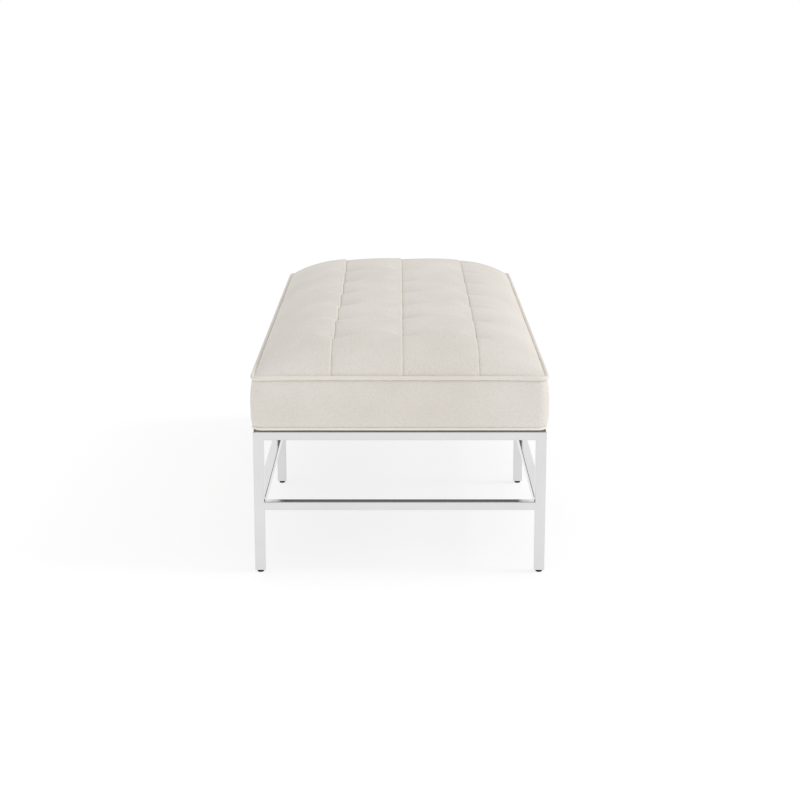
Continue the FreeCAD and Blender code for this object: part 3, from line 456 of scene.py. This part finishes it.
def slab(rows, columns):
    """Faces of a closed slab: a grid of points, the same grid below it, and the wall round both."""
    count = rows * columns
    top = band(rows, columns)
    under = [tuple(count + k for k in reversed(face)) for face in top]
    rim = list(range(columns))
    rim += [i * columns + columns - 1 for i in range(1, rows)]
    rim += [(rows - 1) * columns + j for j in range(columns - 2, -1, -1)]
    rim += [i * columns for i in range(rows - 2, 0, -1)]
    return top + under + [(a, b, b + count, a + count) for a, b in zip(rim, rim[1:] + rim[:1])]


def new_piece(name, points_mm, faces, material):
    """A smooth mesh piece from points in millimetres."""
    mesh = bpy.data.meshes.new(name)
    mesh.from_pydata((np.asarray(points_mm, float) / 1000).tolist(), [], faces)
    mesh.validate()
    mesh.shade_smooth()
    mesh.materials.append(material)
    piece = bpy.data.objects.new(name, mesh)
    scene.collection.objects.link(piece)
    return piece


def finish_piece(piece, slot_name, *stands_for):
    """Fix a piece to the bench in place of the plain solids it stands for."""
    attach(piece, "bench")
    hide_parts(*stands_for)
    print(piece.name, len(piece.data.polygons), "faces")
    return piece


print("a slab of 3 by 3 points has", len(slab(3, 3)), "faces")

# %% [markdown]
# ## The form of the seat
# The seat is crowned: full in the middle and rolling over to the welt on all four sides. Three seams
# run along it and seven rows of ties pull them down, so each strip swells between the seams and a
# crease runs sideways out of every tuft. The two end cells have no ties beyond them and stay smooth.
# A cloth simulation could puff up such a cover, but a formula puts each seam and tuft where the
# photograph has it. One function gives the height at any place, so the strips meet along the seams.

# %% Sizes of the crown, seams and tufts
# The box of the plain welt gives the seat's size; 500 turns metres into halves in millimetres
welt_low, welt_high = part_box("welt_top")
WELT_Z = 500 * (welt_low.z + welt_high.z)
WELT_R = 500 * (welt_high.z - welt_low.z)
SEAT_X = 500 * (welt_high.x - welt_low.x) - WELT_R
SEAT_Y = 500 * (welt_high.y - welt_low.y) - WELT_R
CORNER = 20.0
HALF_X, HALF_Y, INNER_CORNER = SEAT_X - WELT_R, SEAT_Y - WELT_R, CORNER - WELT_R
PITCH_X, PITCH_Y = SEAT_X / 4, SEAT_Y / 2
TUFT_X = np.arange(-3, 4) * PITCH_X
# The crown: its height, and how squarely it rolls over at the ends and at the sides
CROWN, END_ROLL, SIDE_FULL, SIDE_ROLL = 64.0, 2.5, 3.3, 0.66
# Corners of the cover are drawn down by the sewing, more at the left end
DIP_RIGHT, DIP_LEFT, DIP_REACH = 2.0, 6.5, 32.0
# Each seam: middle of its run, drift towards the right end, sideways jogs at the tufts
SEAMS = (
    (7.2 - PITCH_Y, 2.6, (1.0, 2.0, 2.4, 4.4, 4.6, 4.6, 5.0)),
    (5.0, 1.0, (0.4, 0.6, 0.5, 0.7, 0.8, 0.9, 0.9)),
    (11.4 + PITCH_Y, 0.0, (0.8, 1.0, 1.2, 1.4, 1.2, 1.3, 1.2)),
)
JOG_LENGTH = 15.0
# Padding of a strip and of its seams above the crown, in the tied cells and in the two end cells
SWELL, SWELL_END, SEAM_LIFT, SEAM_LIFT_END, TIE_HOLD = 4.6, 3.0, 1.5, 3.0, 40.0
# Shape of the padding across a strip; the outer strips lean towards their one seam
DOME, LEAN, SEAM_FADE, OUTER_SWELL = 0.75, 0.7, 1.3, 0.95
# Each strip laps over the next: rise of the lap, its rounded edge and its fading, then the tuck beyond
LAP, LAP_ROLL, LAP_FADE, LAP_FALL = 2.6, 3.2, 70.0, 1.5
TUCK, TUCK_WIDE = 1.6, 2.4
# Tufts: depth, its share at each seam and in the far row, and how it differs from tuft to tuft
TUFT_DEPTH, PULLS, PULL_FAR_ROW = 15.0, (0.75, 0.65, 0.6), 0.5
PULL_VARIES, ROW_STEP, SEAM_STEP = 0.1, 2.3, 1.7
# Creases: slack along the bench left and right of a tuft, then reach and slant either side of a seam
SLACK_LEFT, SLACK_RIGHT, TUFT_LAG = 42.0, 17.0, 4.0
REACH_BEFORE, REACH_AFTER, SLANT_BEFORE, SLANT_AFTER = 26.0, 38.0, -0.4, 0.2
# Unevenness of the leather: height, size and seed of each layer
STRIP_WAVES = ((0.14, 150, 3), (0.07, 45, 8))
print("crown", CROWN, "mm, tufts every", round(PITCH_X, 1), "mm")

# %% Crown and seam lines
# Unevenness is a sum of sines of about one length, which seldom comes to more than four
WAVE_COUNT, WAVE_PEAK, WAVE_SHORT, WAVE_LONG = 7, 4, 0.7, 1.6


def waves(x, y, size, seed):
    """Smooth unevenness between about -1 and 1, the same on each run."""
    rng = np.random.default_rng(seed)
    total = np.zeros(np.broadcast(x, y).shape)
    for _ in range(WAVE_COUNT):
        turn, phase = rng.uniform(0, math.tau, 2)
        length = size * rng.uniform(WAVE_SHORT, WAVE_LONG)
        total += np.sin(math.tau * (x * math.cos(turn) + y * math.sin(turn)) / length + phase)
    return total / WAVE_PEAK


def uneven(x, y, *layers):
    """Layers of waves, each with its height, size and seed."""
    return sum(height * waves(x, y, size, seed) for height, size, seed in layers)


def half_width(x):
    """Half width inside the welt, with rounded corners."""
    past = np.clip(np.abs(x) - (HALF_X - INNER_CORNER), 0, INNER_CORNER)
    return HALF_Y - INNER_CORNER + np.sqrt(INNER_CORNER**2 - past**2)


def corner_dip(x, y):
    """How far the cover is drawn down at the corners of the seat."""
    to_corner = np.hypot(np.abs(x) - SEAT_X, np.abs(y) - SEAT_Y)
    return np.where(x > 0, DIP_RIGHT, DIP_LEFT) * np.exp(-to_corner / DIP_REACH)


def crown(x, y):
    """Height of the plain crown above the welt, and its share along the bench."""
    inward = np.clip((HALF_X - np.abs(x)) / HALF_Y, 0, 1)
    along = np.sqrt(1 - (1 - inward) ** END_ROLL)
    across = (1 - np.clip(np.abs(y) / half_width(x), 0, 1) ** SIDE_FULL) ** SIDE_ROLL
    return CROWN * along * across, along


def seam_line(index, x):
    """Where a seam runs: it jogs aside at each tuft and drifts back in between."""
    middle, drift, jogs = SEAMS[index]
    jogged = sum(jog * np.tanh((x - row) / JOG_LENGTH) for jog, row in zip(jogs, TUFT_X)) / 2
    back = np.clip(x / (TUFT_X[-1] + PITCH_X / 2), -1, 1) * sum(jogs) / 2
    return middle + drift * x / SEAT_X + back - jogged


for index in range(len(SEAMS)):
    print("seam", index + 1, "crosses the middle at", round(float(seam_line(index, 0.0)), 1), "mm")

# %% Padding, creases and laps


def padding(strip, x, share, along):
    """Height of a strip above the plain crown; its seams lift too where no tie holds them down."""
    from_row = np.abs(x[..., None] - TUFT_X).min(-1)
    tied = np.exp(-((from_row / TIE_HOLD) ** 2))
    in_cells = np.abs(x) < TUFT_X[-1]
    seam_lift = np.where(in_cells, SEAM_LIFT, SEAM_LIFT_END) * (1 - tied) * along
    swell = np.where(in_cells, SWELL, SWELL_END + (SWELL - SWELL_END) * tied) * along
    if 0 < strip < len(SEAMS):
        dome = np.clip(4 * share * (1 - share), 0, 1) ** DOME
        return seam_lift + (swell - seam_lift) * dome
    away = 1 - share if strip == 0 else share
    lean = np.clip(away, 0, 1) ** LEAN
    dome = (4 * lean * (1 - lean)) ** DOME
    return seam_lift * (1 - away) ** SEAM_FADE + OUTER_SWELL * swell * dome


def crease(index, x, reach, before_seam):
    """Depth of the creases beside a seam: slack gathers slowly towards a tuft and is let go just past it."""
    slant, lag = (SLANT_BEFORE, 0.0) if before_seam else (SLANT_AFTER, TUFT_LAG)
    dies_out = REACH_BEFORE if before_seam else REACH_AFTER
    past = (x - slant * reach - lag)[..., None] - TUFT_X
    slack = np.exp(np.minimum(past, 0) / SLACK_LEFT - np.maximum(past, 0) / SLACK_RIGHT)
    row = slack.argmax(-1)
    depth = TUFT_DEPTH * PULLS[index] * (1 + PULL_VARIES * np.sin(ROW_STEP * row + SEAM_STEP * index))
    depth = depth * np.where(row == 0, PULL_FAR_ROW, 1.0)
    return depth * slack.max(-1) * np.exp(-((reach / dies_out) ** 2))


def seam_ridge(strip, y, left, right):
    """How far a strip stands out where it laps over the next one, or is tucked under the one before."""
    ridge = np.zeros(y.shape)
    if strip < len(SEAMS):
        in_lap = right - y
        roll = np.sqrt(np.clip(1 - (1 - np.clip(in_lap / LAP_ROLL, 0, 1)) ** 2, 0, 1))
        fade = np.exp(-((np.maximum(in_lap - LAP_ROLL, 0) / LAP_FADE) ** LAP_FALL))
        ridge = ridge + LAP * roll * fade
    if strip > 0:
        ridge = ridge - TUCK * np.exp(-(y - left) / TUCK_WIDE)
    return ridge


def strip_form(strip, x, share):
    """Place and height of one strip, and how far its seams stand out; share runs from left to right."""
    left = seam_line(strip - 1, x) if strip > 0 else -half_width(x)
    right = seam_line(strip, x) if strip < len(SEAMS) else half_width(x)
    y = left + share * (right - left)
    height, along = crown(x, y)
    height = height + padding(strip, x, share, along)
    if strip > 0:
        height = height - along * crease(strip - 1, x, np.abs(y - left), before_seam=False)
    if strip < len(SEAMS):
        height = height - along * crease(strip, x, np.abs(y - right), before_seam=True)
    height = height + along * uneven(x, y, *STRIP_WAVES)
    z = WELT_Z + np.maximum(height, 0) - corner_dip(x, y)
    return y, z, seam_ridge(strip, y, left, right)


print("tufts are pulled down", [round(TUFT_DEPTH * pull, 1) for pull in PULLS], "mm at the three seams")

# %% [markdown]
# ## Four strips
# Each strip is a closed pad: the leather on top, its edges turned down into the seams, and a flat
# underside on the foam. A subdivided grid would round the seams off, so points are set closer together
# there and at the ends, where the leather turns quickly.

# %% Strips of the top
PAD_DEPTH, SEAM_GAP = 13.0, 0.01
EVEN_RUN, EVEN_POINTS, END_POINTS, ACROSS_POINTS = 640, 427, 21, 61


def along_points():
    """Places along the bench: even in the middle, crowding towards both ends."""
    middle = np.linspace(-EVEN_RUN, EVEN_RUN, EVEN_POINTS)
    end = EVEN_RUN + (HALF_X - EVEN_RUN) * np.sin(np.linspace(0, math.pi / 2, END_POINTS))[1:]
    return np.concatenate([-end[::-1], middle, end])


def top_strip(strip):
    """One strip as a closed pad; its ridges stand out square to the crown."""
    x = along_points()
    share = (1 - np.cos(np.linspace(0, math.pi, ACROSS_POINTS))) / 2
    xs, shares = np.meshgrid(x, share, indexing="ij")
    y, z, ridge = strip_form(strip, xs, shares)
    steep = np.gradient(crown(xs, y)[0], x, axis=0)
    level = np.sqrt(1 + steep**2)
    xs, z = xs - ridge * steep / level, z + ridge / level
    if strip > 0:
        y = y + SEAM_GAP * (1 - shares)
    if strip < len(SEAMS):
        y = y - SEAM_GAP * shares
    top = np.stack([xs, y, z], -1).reshape(-1, 3)
    under = top.copy()
    under[:, 2] = WELT_Z - PAD_DEPTH
    points = np.concatenate([top, under])
    return new_piece(f"seat_strip_top_{strip + 1}", points, slab(*xs.shape), cover_hide)


strips = [top_strip(i) for i in range(len(SEAMS) + 1)]
for i, piece in enumerate(strips):
    hidden = ("foam_core", "fill_layer", "tuft_ties") if i == 0 else ()
    finish_piece(piece, "cover_leather", f"top_strip_{i + 1}", *hidden)

# %% [markdown]
# ## Welts and boxing band
# A welt is a cord wrapped in leather and sewn into the seam, so it is a round tube that follows the
# outline of the seat and is never quite even. The boxing band is the strip round the sides; the foam
# pushes it out between the two welts. A curve with a bevel would give even tubes, so both are sections
# swept point by point along the same rounded outline, where they can waver.

# %% Swept outline


def outline(offset, step=9.0, turns=12):
    """Points round the seat at an offset from its outline, with outward directions."""
    a, b, r = SEAT_X - CORNER, SEAT_Y - CORNER, CORNER + offset
    runs = (
        ((-a, -b - r), (a, -b - r), (a, -b), -90),
        ((a + r, -b), (a + r, b), (a, b), 0),
        ((a, b + r), (-a, b + r), (-a, b), 90),
        ((-a - r, b), (-a - r, -b), (-a, -b), 180),
    )
    points, outward = [], []
    for start, end, centre, face in runs:
        start, end = np.array(start), np.array(end)
        count = int(np.linalg.norm(end - start) / step)
        normal = np.array([math.cos(math.radians(face)), math.sin(math.radians(face))])
        for k in range(count):
            points.append(start + (end - start) * k / count)
            outward.append(normal)
        for k in range(turns):
            turn = math.radians(face + 90 * k / turns)
            normal = np.array([math.cos(turn), math.sin(turn)])
            points.append(np.array(centre) + r * normal)
            outward.append(normal)
    return np.array(points), np.array(outward)


print(len(outline(0.0)[0]), "points round the seat")

# %% Welts
TOP_R, TOP_DROP = 4.7, 0.95
BASE_R, BASE_INSET, BASE_DROP = 3.0, -0.2, 0.75
BASE_Z = 1000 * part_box("welt_bottom")[0].z + BASE_R - BASE_DROP
CORD_SIDES = 16
# Unevenness of a wrapped cord: height and size of its lumps, its ripples and its slow rise and fall
CORD_LUMP, CORD_RIPPLE, CORD_RISE = (0.08, 70), (0.06, 24), (0.08, 320)


def welt(name, material, radius, level, inset, seed, dipped=False):
    """A cord round the seat with the slight unevenness of wrapped leather."""
    points, outward = outline(-inset)
    x, y = points[:, 0], points[:, 1]
    thick = radius + uneven(x, y, (*CORD_LUMP, seed), (*CORD_RIPPLE, seed + 1))
    middle = level + uneven(x, y, (*CORD_RISE, seed + 2)) - dipped * corner_dip(x, y)
    rings = []
    for k in range(CORD_SIDES):
        turn = math.tau * k / CORD_SIDES
        out, up = thick * math.cos(turn), middle + thick * math.sin(turn)
        rings.append(np.column_stack([points + outward * out[:, None], up]))
    faces = band(len(points), CORD_SIDES, closed_rows=True, closed_columns=True)
    return new_piece(name, np.stack(rings, 1).reshape(-1, 3), faces, material)


top_welt = welt("seat_welt_top", welt_hide, TOP_R, WELT_Z - TOP_DROP, 0.0, 21, dipped=True)
finish_piece(top_welt, "welt_leather", "welt_top")
base_welt = welt("seat_welt_base", base_welt_painted_lit_hide, BASE_R, BASE_Z, BASE_INSET, 31)
finish_piece(base_welt, "welt_leather", "welt_bottom")

# %% Boxing band in two lengths
BAND_OVER_BASE, BAND_BEHIND_TOP = 2.75, 0.2
BAND_BOTTOM, BAND_TOP = BASE_Z + BAND_OVER_BASE, WELT_Z - TOP_DROP - TOP_R + BAND_BEHIND_TOP
# Bulge: how far it stands out at its edges and at its fullest, and how squarely it turns below and above
BAND_EDGE, BAND_SPARE, BULGE_LOW, BULGE_HIGH = 1.0, 1.2, 4.5, 2
BAND_REACH = -1000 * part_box("boxing_left")[0].x - SEAT_X - BAND_SPARE
BAND_THICK, OUTER_POINTS, INNER_POINTS = 2.4, 25, 13
# Groove under the top welt, and the joins half way along the long sides
GROOVE, GROOVE_WIDE = 0.5, 1.2
JOIN_IN, JOIN_WIDE, JOIN_GAP, JOIN_CLEAR = 1.5, 3.0, 0.6, 3
BAND_SLACK, BAND_RIPPLE = (0.45, 190, 41), (0.2, 60, 47)


def bulge(level):
    """How far the band stands out, from its bottom edge to its top edge: full low down, as foam settles."""
    from_middle = 2 * level - 1
    turn = np.where(from_middle < 0, np.abs(from_middle) ** BULGE_LOW, np.abs(from_middle) ** BULGE_HIGH)
    return BAND_EDGE + (BAND_REACH - BAND_EDGE) * (1 - turn)


def half_outline(side):
    """The outline round one end of the seat, from join to join."""
    points, outward = outline(0.0)
    keep = points[:, 0] * side > JOIN_CLEAR
    points, outward = points[keep], outward[keep]
    order = np.argsort(np.arctan2(points[:, 1], points[:, 0] * side))
    points = np.vstack([[JOIN_GAP * side, -SEAT_Y], points[order], [JOIN_GAP * side, SEAT_Y]])
    return points, np.vstack([[0.0, -1.0], outward[order], [0.0, 1.0]])


def boxing(name, side):
    """Half of the band: a swollen section swept round one end, its ends turned in at the joins."""
    points, outward = half_outline(side)
    x, y = points[:, 0], points[:, 1]
    tall = BAND_TOP - BAND_BOTTOM
    level, inner_level = np.linspace(0, 1, OUTER_POINTS), np.linspace(1, 0, INNER_POINTS)
    outer = bulge(level) - GROOVE * np.exp(-(1 - level) * tall / GROOVE_WIDE)
    inner = bulge(inner_level) - BAND_THICK
    section = np.concatenate([np.column_stack([outer, level]), np.column_stack([inner, inner_level])])
    turned_in = JOIN_IN * np.exp(-np.abs(x) / JOIN_WIDE)
    rings = []
    for out, share in section:
        z = BAND_BOTTOM + share * tall
        slack = uneven(x + y, z, BAND_SLACK) + uneven(x - y, z, BAND_RIPPLE)
        reach = out + 4 * share * (1 - share) * slack - turned_in
        rings.append(np.column_stack([points + outward * reach[:, None], z - share * corner_dip(x, y)]))
    grid = np.stack(rings, 1)
    rows, columns = grid.shape[:2]
    faces = band(rows, columns, closed_columns=True)
    faces.append(tuple(range(columns)))
    faces.append(tuple((rows - 1) * columns + k for k in reversed(range(columns))))
    if side < 0:
        faces = [tuple(reversed(face)) for face in faces]
    return new_piece(name, grid.reshape(-1, 3), faces, cover_hide)


finish_piece(boxing("seat_boxing_left", -1), "cover_leather", "boxing_left")
finish_piece(boxing("seat_boxing_right", 1), "cover_leather", "boxing_right")

# %% [markdown]
# ## Underside
# Below, the cover is folded under the edge of the deck as a hem, and a grey non-woven dust cover is
# stretched across, over the edge of the hem, and stapled. The cloth sags a little inside its staples.
# It is nearly flat, so a sheet with a slight sag does, where a cloth simulation would add nothing to
# see. Its colour comes from the photograph: the polished end stretcher mirrors it.

# %% Non-woven cloth
# Polypropylene fibres, spun and bonded in spots: dull grey, faintly cloudy, with a dry, fuzzy surface
FIBRE, BOND, BOND_WEIGHT = 1.4, 2.2, 0.6
dust_felt, tree, shader, place = new_material("grey_polypropylene_felt")
loose = {"Vector": place, "Scale": per_metre(FIBRE), "Detail": 6.0, "Distortion": 1.2}
fibres = add(tree, "ShaderNodeTexNoise", loose)
bonds = add(tree, "ShaderNodeTexVoronoi", {"Vector": place, "Scale": per_metre(BOND)})
both = {0: bonds.outputs["Distance"], 1: BOND_WEIGHT, 2: fibres.outputs["Fac"]}
mixed = add(tree, "ShaderNodeMath", both, operation="MULTIPLY_ADD")
greys = [(NOISE_LOW, "#5C5C5B"), (NOISE_HIGH, "#747473")]
tint = add(tree, "ShaderNodeValToRGB", {"Fac": fibres.outputs["Fac"]}, stops=greys)
bump = add(tree, "ShaderNodeBump", {"Height": mixed.outputs["Value"], "Strength": 0.5, "Distance": 0.0003})
feed(tree, shader, {"Base Color": tint.outputs["Color"], "Roughness": 0.95, "Normal": bump.outputs["Normal"]})
print(dust_felt.name, "fibres", FIBRE, "mm")

# %% Hem
HEM_WIDE, HEM_STEP, HEM_WAVER, CLOTH_CLEAR = 25.0, 14.0, (0.8, 60, 51), 0.05
hem_low, hem_high = (1000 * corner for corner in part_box("hem_strip"))


def hem():
    """The folded edge of the cover: a flat ring with a wavering inner edge."""
    edge, outward = outline(hem_high.x - SEAT_X, step=HEM_STEP)
    inner = np.clip(edge, np.array(hem_low)[:2] + HEM_WIDE, np.array(hem_high)[:2] - HEM_WIDE)
    inner = inner + outward * uneven(edge[:, 0], edge[:, 1], HEM_WAVER)[:, None]
    top, bottom = hem_high.z, hem_low.z + CLOTH_CLEAR
    section = ((inner, top), (edge, top), (edge, bottom), (inner, bottom))
    grid = np.stack([np.column_stack([line, np.full(len(line), z)]) for line, z in section], 1)
    faces = band(len(edge), len(section), closed_rows=True, closed_columns=True)
    return new_piece("seat_hem", grid.reshape(-1, 3), [tuple(reversed(face)) for face in faces], cover_hide)


finish_piece(hem(), "cover_leather", "hem_strip")

# %% Dust cover
CLOTH_LAP, CLOTH_THICK, CLOTH_ROWS, CLOTH_COLUMNS = 12.0, 0.5, 137, 57
SAG, SAG_REACH, SAG_WAVES = 1.1, 60, ((0.5, 260, 61), (0.25, 80, 67))
cloth_low, cloth_high = (1000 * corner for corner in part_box("dust_cover"))
cloth_low = cloth_low - Vector((CLOTH_LAP, CLOTH_LAP, 0))
cloth_high = cloth_high + Vector((CLOTH_LAP, CLOTH_LAP, 0))


def cloth():
    """A thin sheet that is held at its edge and sags a little, unevenly, inside it."""
    x = np.linspace(cloth_low.x, cloth_high.x, CLOTH_ROWS)
    y = np.linspace(cloth_low.y, cloth_high.y, CLOTH_COLUMNS)
    xs, ys = np.meshgrid(x, y, indexing="ij")
    from_ends = np.minimum(xs - cloth_low.x, cloth_high.x - xs)
    from_sides = np.minimum(ys - cloth_low.y, cloth_high.y - ys)
    loose = 1 - np.exp(-np.minimum(from_ends, from_sides) / SAG_REACH)
    sag = loose * (SAG + uneven(xs, ys, *SAG_WAVES))
    upper = np.stack([xs, ys, hem_low.z - CLOTH_CLEAR - sag], -1).reshape(-1, 3)
    lower = upper - np.array([0, 0, CLOTH_THICK])
    return new_piece("dust_cloth", np.concatenate([upper, lower]), slab(*xs.shape), dust_felt)


cover = finish_piece(cloth(), "dust_cloth", "dust_cover")

# %% [markdown]
# ## Staples
# About ninety wire staples hold the dust cover. They could be copied one by one, but they repeat along
# a rectangle, so Geometry Nodes make them: a bent wire is set on points along the line, turned to it,
# with a little of the unevenness of a hand-held gun. The result is turned into one plain mesh.

# %% A tree that sets staples along a rectangle
BEND_STEPS, WIRE_SIDES = 8, 6


def tree_inputs(tree, sizes):
    """Give a node tree its named inputs; returns their identifiers."""
    tree.interface.new_socket("Geometry", in_out="INPUT", socket_type="NodeSocketGeometry")
    tree.interface.new_socket("Geometry", in_out="OUTPUT", socket_type="NodeSocketGeometry")
    identifiers = {}
    for name, kind in sizes:
        identifiers[name] = tree.interface.new_socket(name, in_out="INPUT", socket_type=kind).identifier
    return identifiers


def bent_wire(tree, given):
    """One staple: a round wire bent into a shallow bow."""
    half = add(tree, "ShaderNodeMath", {0: given["Crown"], 1: 0.5}, operation="MULTIPLY").outputs["Value"]
    back = add(tree, "ShaderNodeMath", {0: given["Crown"], 1: -0.5}, operation="MULTIPLY").outputs["Value"]
    below = add(tree, "ShaderNodeMath", {0: given["Wire"], 1: -1.0}, operation="MULTIPLY").outputs["Value"]
    radius = add(tree, "ShaderNodeMath", {0: given["Wire"], 1: 0.5}, operation="MULTIPLY").outputs["Value"]
    ends = [
        add(tree, "ShaderNodeCombineXYZ", {"X": x, "Z": z}).outputs["Vector"]
        for x, z in ((back, given["Wire"]), (back, below), (half, below), (half, given["Wire"]))
    ]
    bow = dict(zip(("Start", "Start Handle", "End Handle", "End"), ends))
    bend = add(tree, "GeometryNodeCurvePrimitiveBezierSegment", {"Resolution": BEND_STEPS} | bow)
    round_wire = add(tree, "GeometryNodeCurvePrimitiveCircle", {"Resolution": WIRE_SIDES, "Radius": radius})
    swept = {"Curve": bend.outputs["Curve"], "Profile Curve": round_wire.outputs["Curve"], "Fill Caps": True}
    return add(tree, "GeometryNodeCurveToMesh", swept).outputs["Mesh"]


def staple_tree():
    """Staples on a rectangle, each turned to the line and then twisted a little by chance."""
    tree = bpy.data.node_groups.new("staples", "GeometryNodeTree")
    sizes = [(name, "NodeSocketFloat") for name in ("Length", "Width", "Spacing", "Crown", "Wire", "Uneven")]
    identifiers = tree_inputs(tree, sizes + [("Seed", "NodeSocketInt")])
    given = add(tree, "NodeGroupInput").outputs
    frame_size = {"Width": given["Length"], "Height": given["Width"]}
    line = add(tree, "GeometryNodeCurvePrimitiveQuadrilateral", frame_size)
    spaced = {"Curve": line.outputs["Curve"], "Length": given["Spacing"]}
    spots = add(tree, "GeometryNodeResampleCurve", spaced, mode="LENGTH")
    tangent = add(tree, "GeometryNodeInputTangent").outputs["Tangent"]
    turned = add(tree, "FunctionNodeAlignRotationToVector", {"Vector": tangent}, axis="X", pivot_axis="Z")
    placed = add(
        tree,
        "GeometryNodeInstanceOnPoints",
        {
            "Points": spots.outputs["Curve"],
            "Instance": bent_wire(tree, given),
            "Rotation": turned.outputs["Rotation"],
        },
    )
    less = add(tree, "ShaderNodeMath", {0: given["Uneven"], 1: -1.0}, operation="MULTIPLY").outputs["Value"]
    amount = add(tree, "FunctionNodeRandomValue", {"Seed": given["Seed"]}, data_type="FLOAT")
    floats = [socket for socket in amount.inputs if socket.type == "VALUE"]
    tree.links.new(less, floats[0])
    tree.links.new(given["Uneven"], floats[1])
    drawn = next(socket for socket in amount.outputs if socket.type == "VALUE")
    twist = add(tree, "ShaderNodeCombineXYZ", {"Z": drawn}).outputs["Vector"]
    twisted = {"Instances": placed.outputs["Instances"], "Rotation": twist}
    hand_set = add(tree, "GeometryNodeRotateInstances", twisted)
    real = add(tree, "GeometryNodeRealizeInstances", {"Geometry": hand_set.outputs["Instances"]})
    coated = add(tree, "GeometryNodeSetMaterial", {"Geometry": real.outputs["Geometry"], "Material": zinc})
    add(tree, "NodeGroupOutput", {"Geometry": coated.outputs["Geometry"]})
    return tree, identifiers


staple_nodes, staple_inputs = staple_tree()
print("staple tree has", len(staple_nodes.nodes), "nodes and", len(staple_inputs), "named inputs")

# %% Staples along the edge of the dust cover
STAPLE_INSET, STAPLE_SPACING, STAPLE_CROWN, STAPLE_WIRE, STAPLE_BELOW = 8.0, 44, 9.5, 0.9, 0.2
# Twist either way in radians, about seven degrees, and the seed of its draw
STAPLE_TWIST, STAPLE_SEED = 0.12, 5


def staples():
    """The staples as one plain mesh, set just under the cloth."""
    helper = bpy.data.objects.new("staple_line", bpy.data.meshes.new("staple_line"))
    scene.collection.objects.link(helper)
    modifier = helper.modifiers.new("staples", "NODES")
    modifier.node_group = staple_nodes
    sizes = {
        "Length": (cloth_high.x - cloth_low.x - 2 * STAPLE_INSET) / 1000,
        "Width": (cloth_high.y - cloth_low.y - 2 * STAPLE_INSET) / 1000,
        "Spacing": STAPLE_SPACING / 1000,
        "Crown": STAPLE_CROWN / 1000,
        "Wire": STAPLE_WIRE / 1000,
        "Uneven": STAPLE_TWIST,
        "Seed": STAPLE_SEED,
    }
    for name, value in sizes.items():
        modifier[staple_inputs[name]] = value
    shaped = helper.evaluated_get(bpy.context.evaluated_depsgraph_get())
    mesh = bpy.data.meshes.new_from_object(shaped)
    bpy.data.objects.remove(helper)
    for corner in mesh.vertices:
        corner.co.z += (hem_low.z - CLOTH_THICK - STAPLE_BELOW) / 1000
    mesh.shade_smooth()
    piece = bpy.data.objects.new("dust_cloth_staples", mesh)
    scene.collection.objects.link(piece)
    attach(piece, "bench")
    return piece


print(len(staples().data.polygons), "faces of wire in the staples")
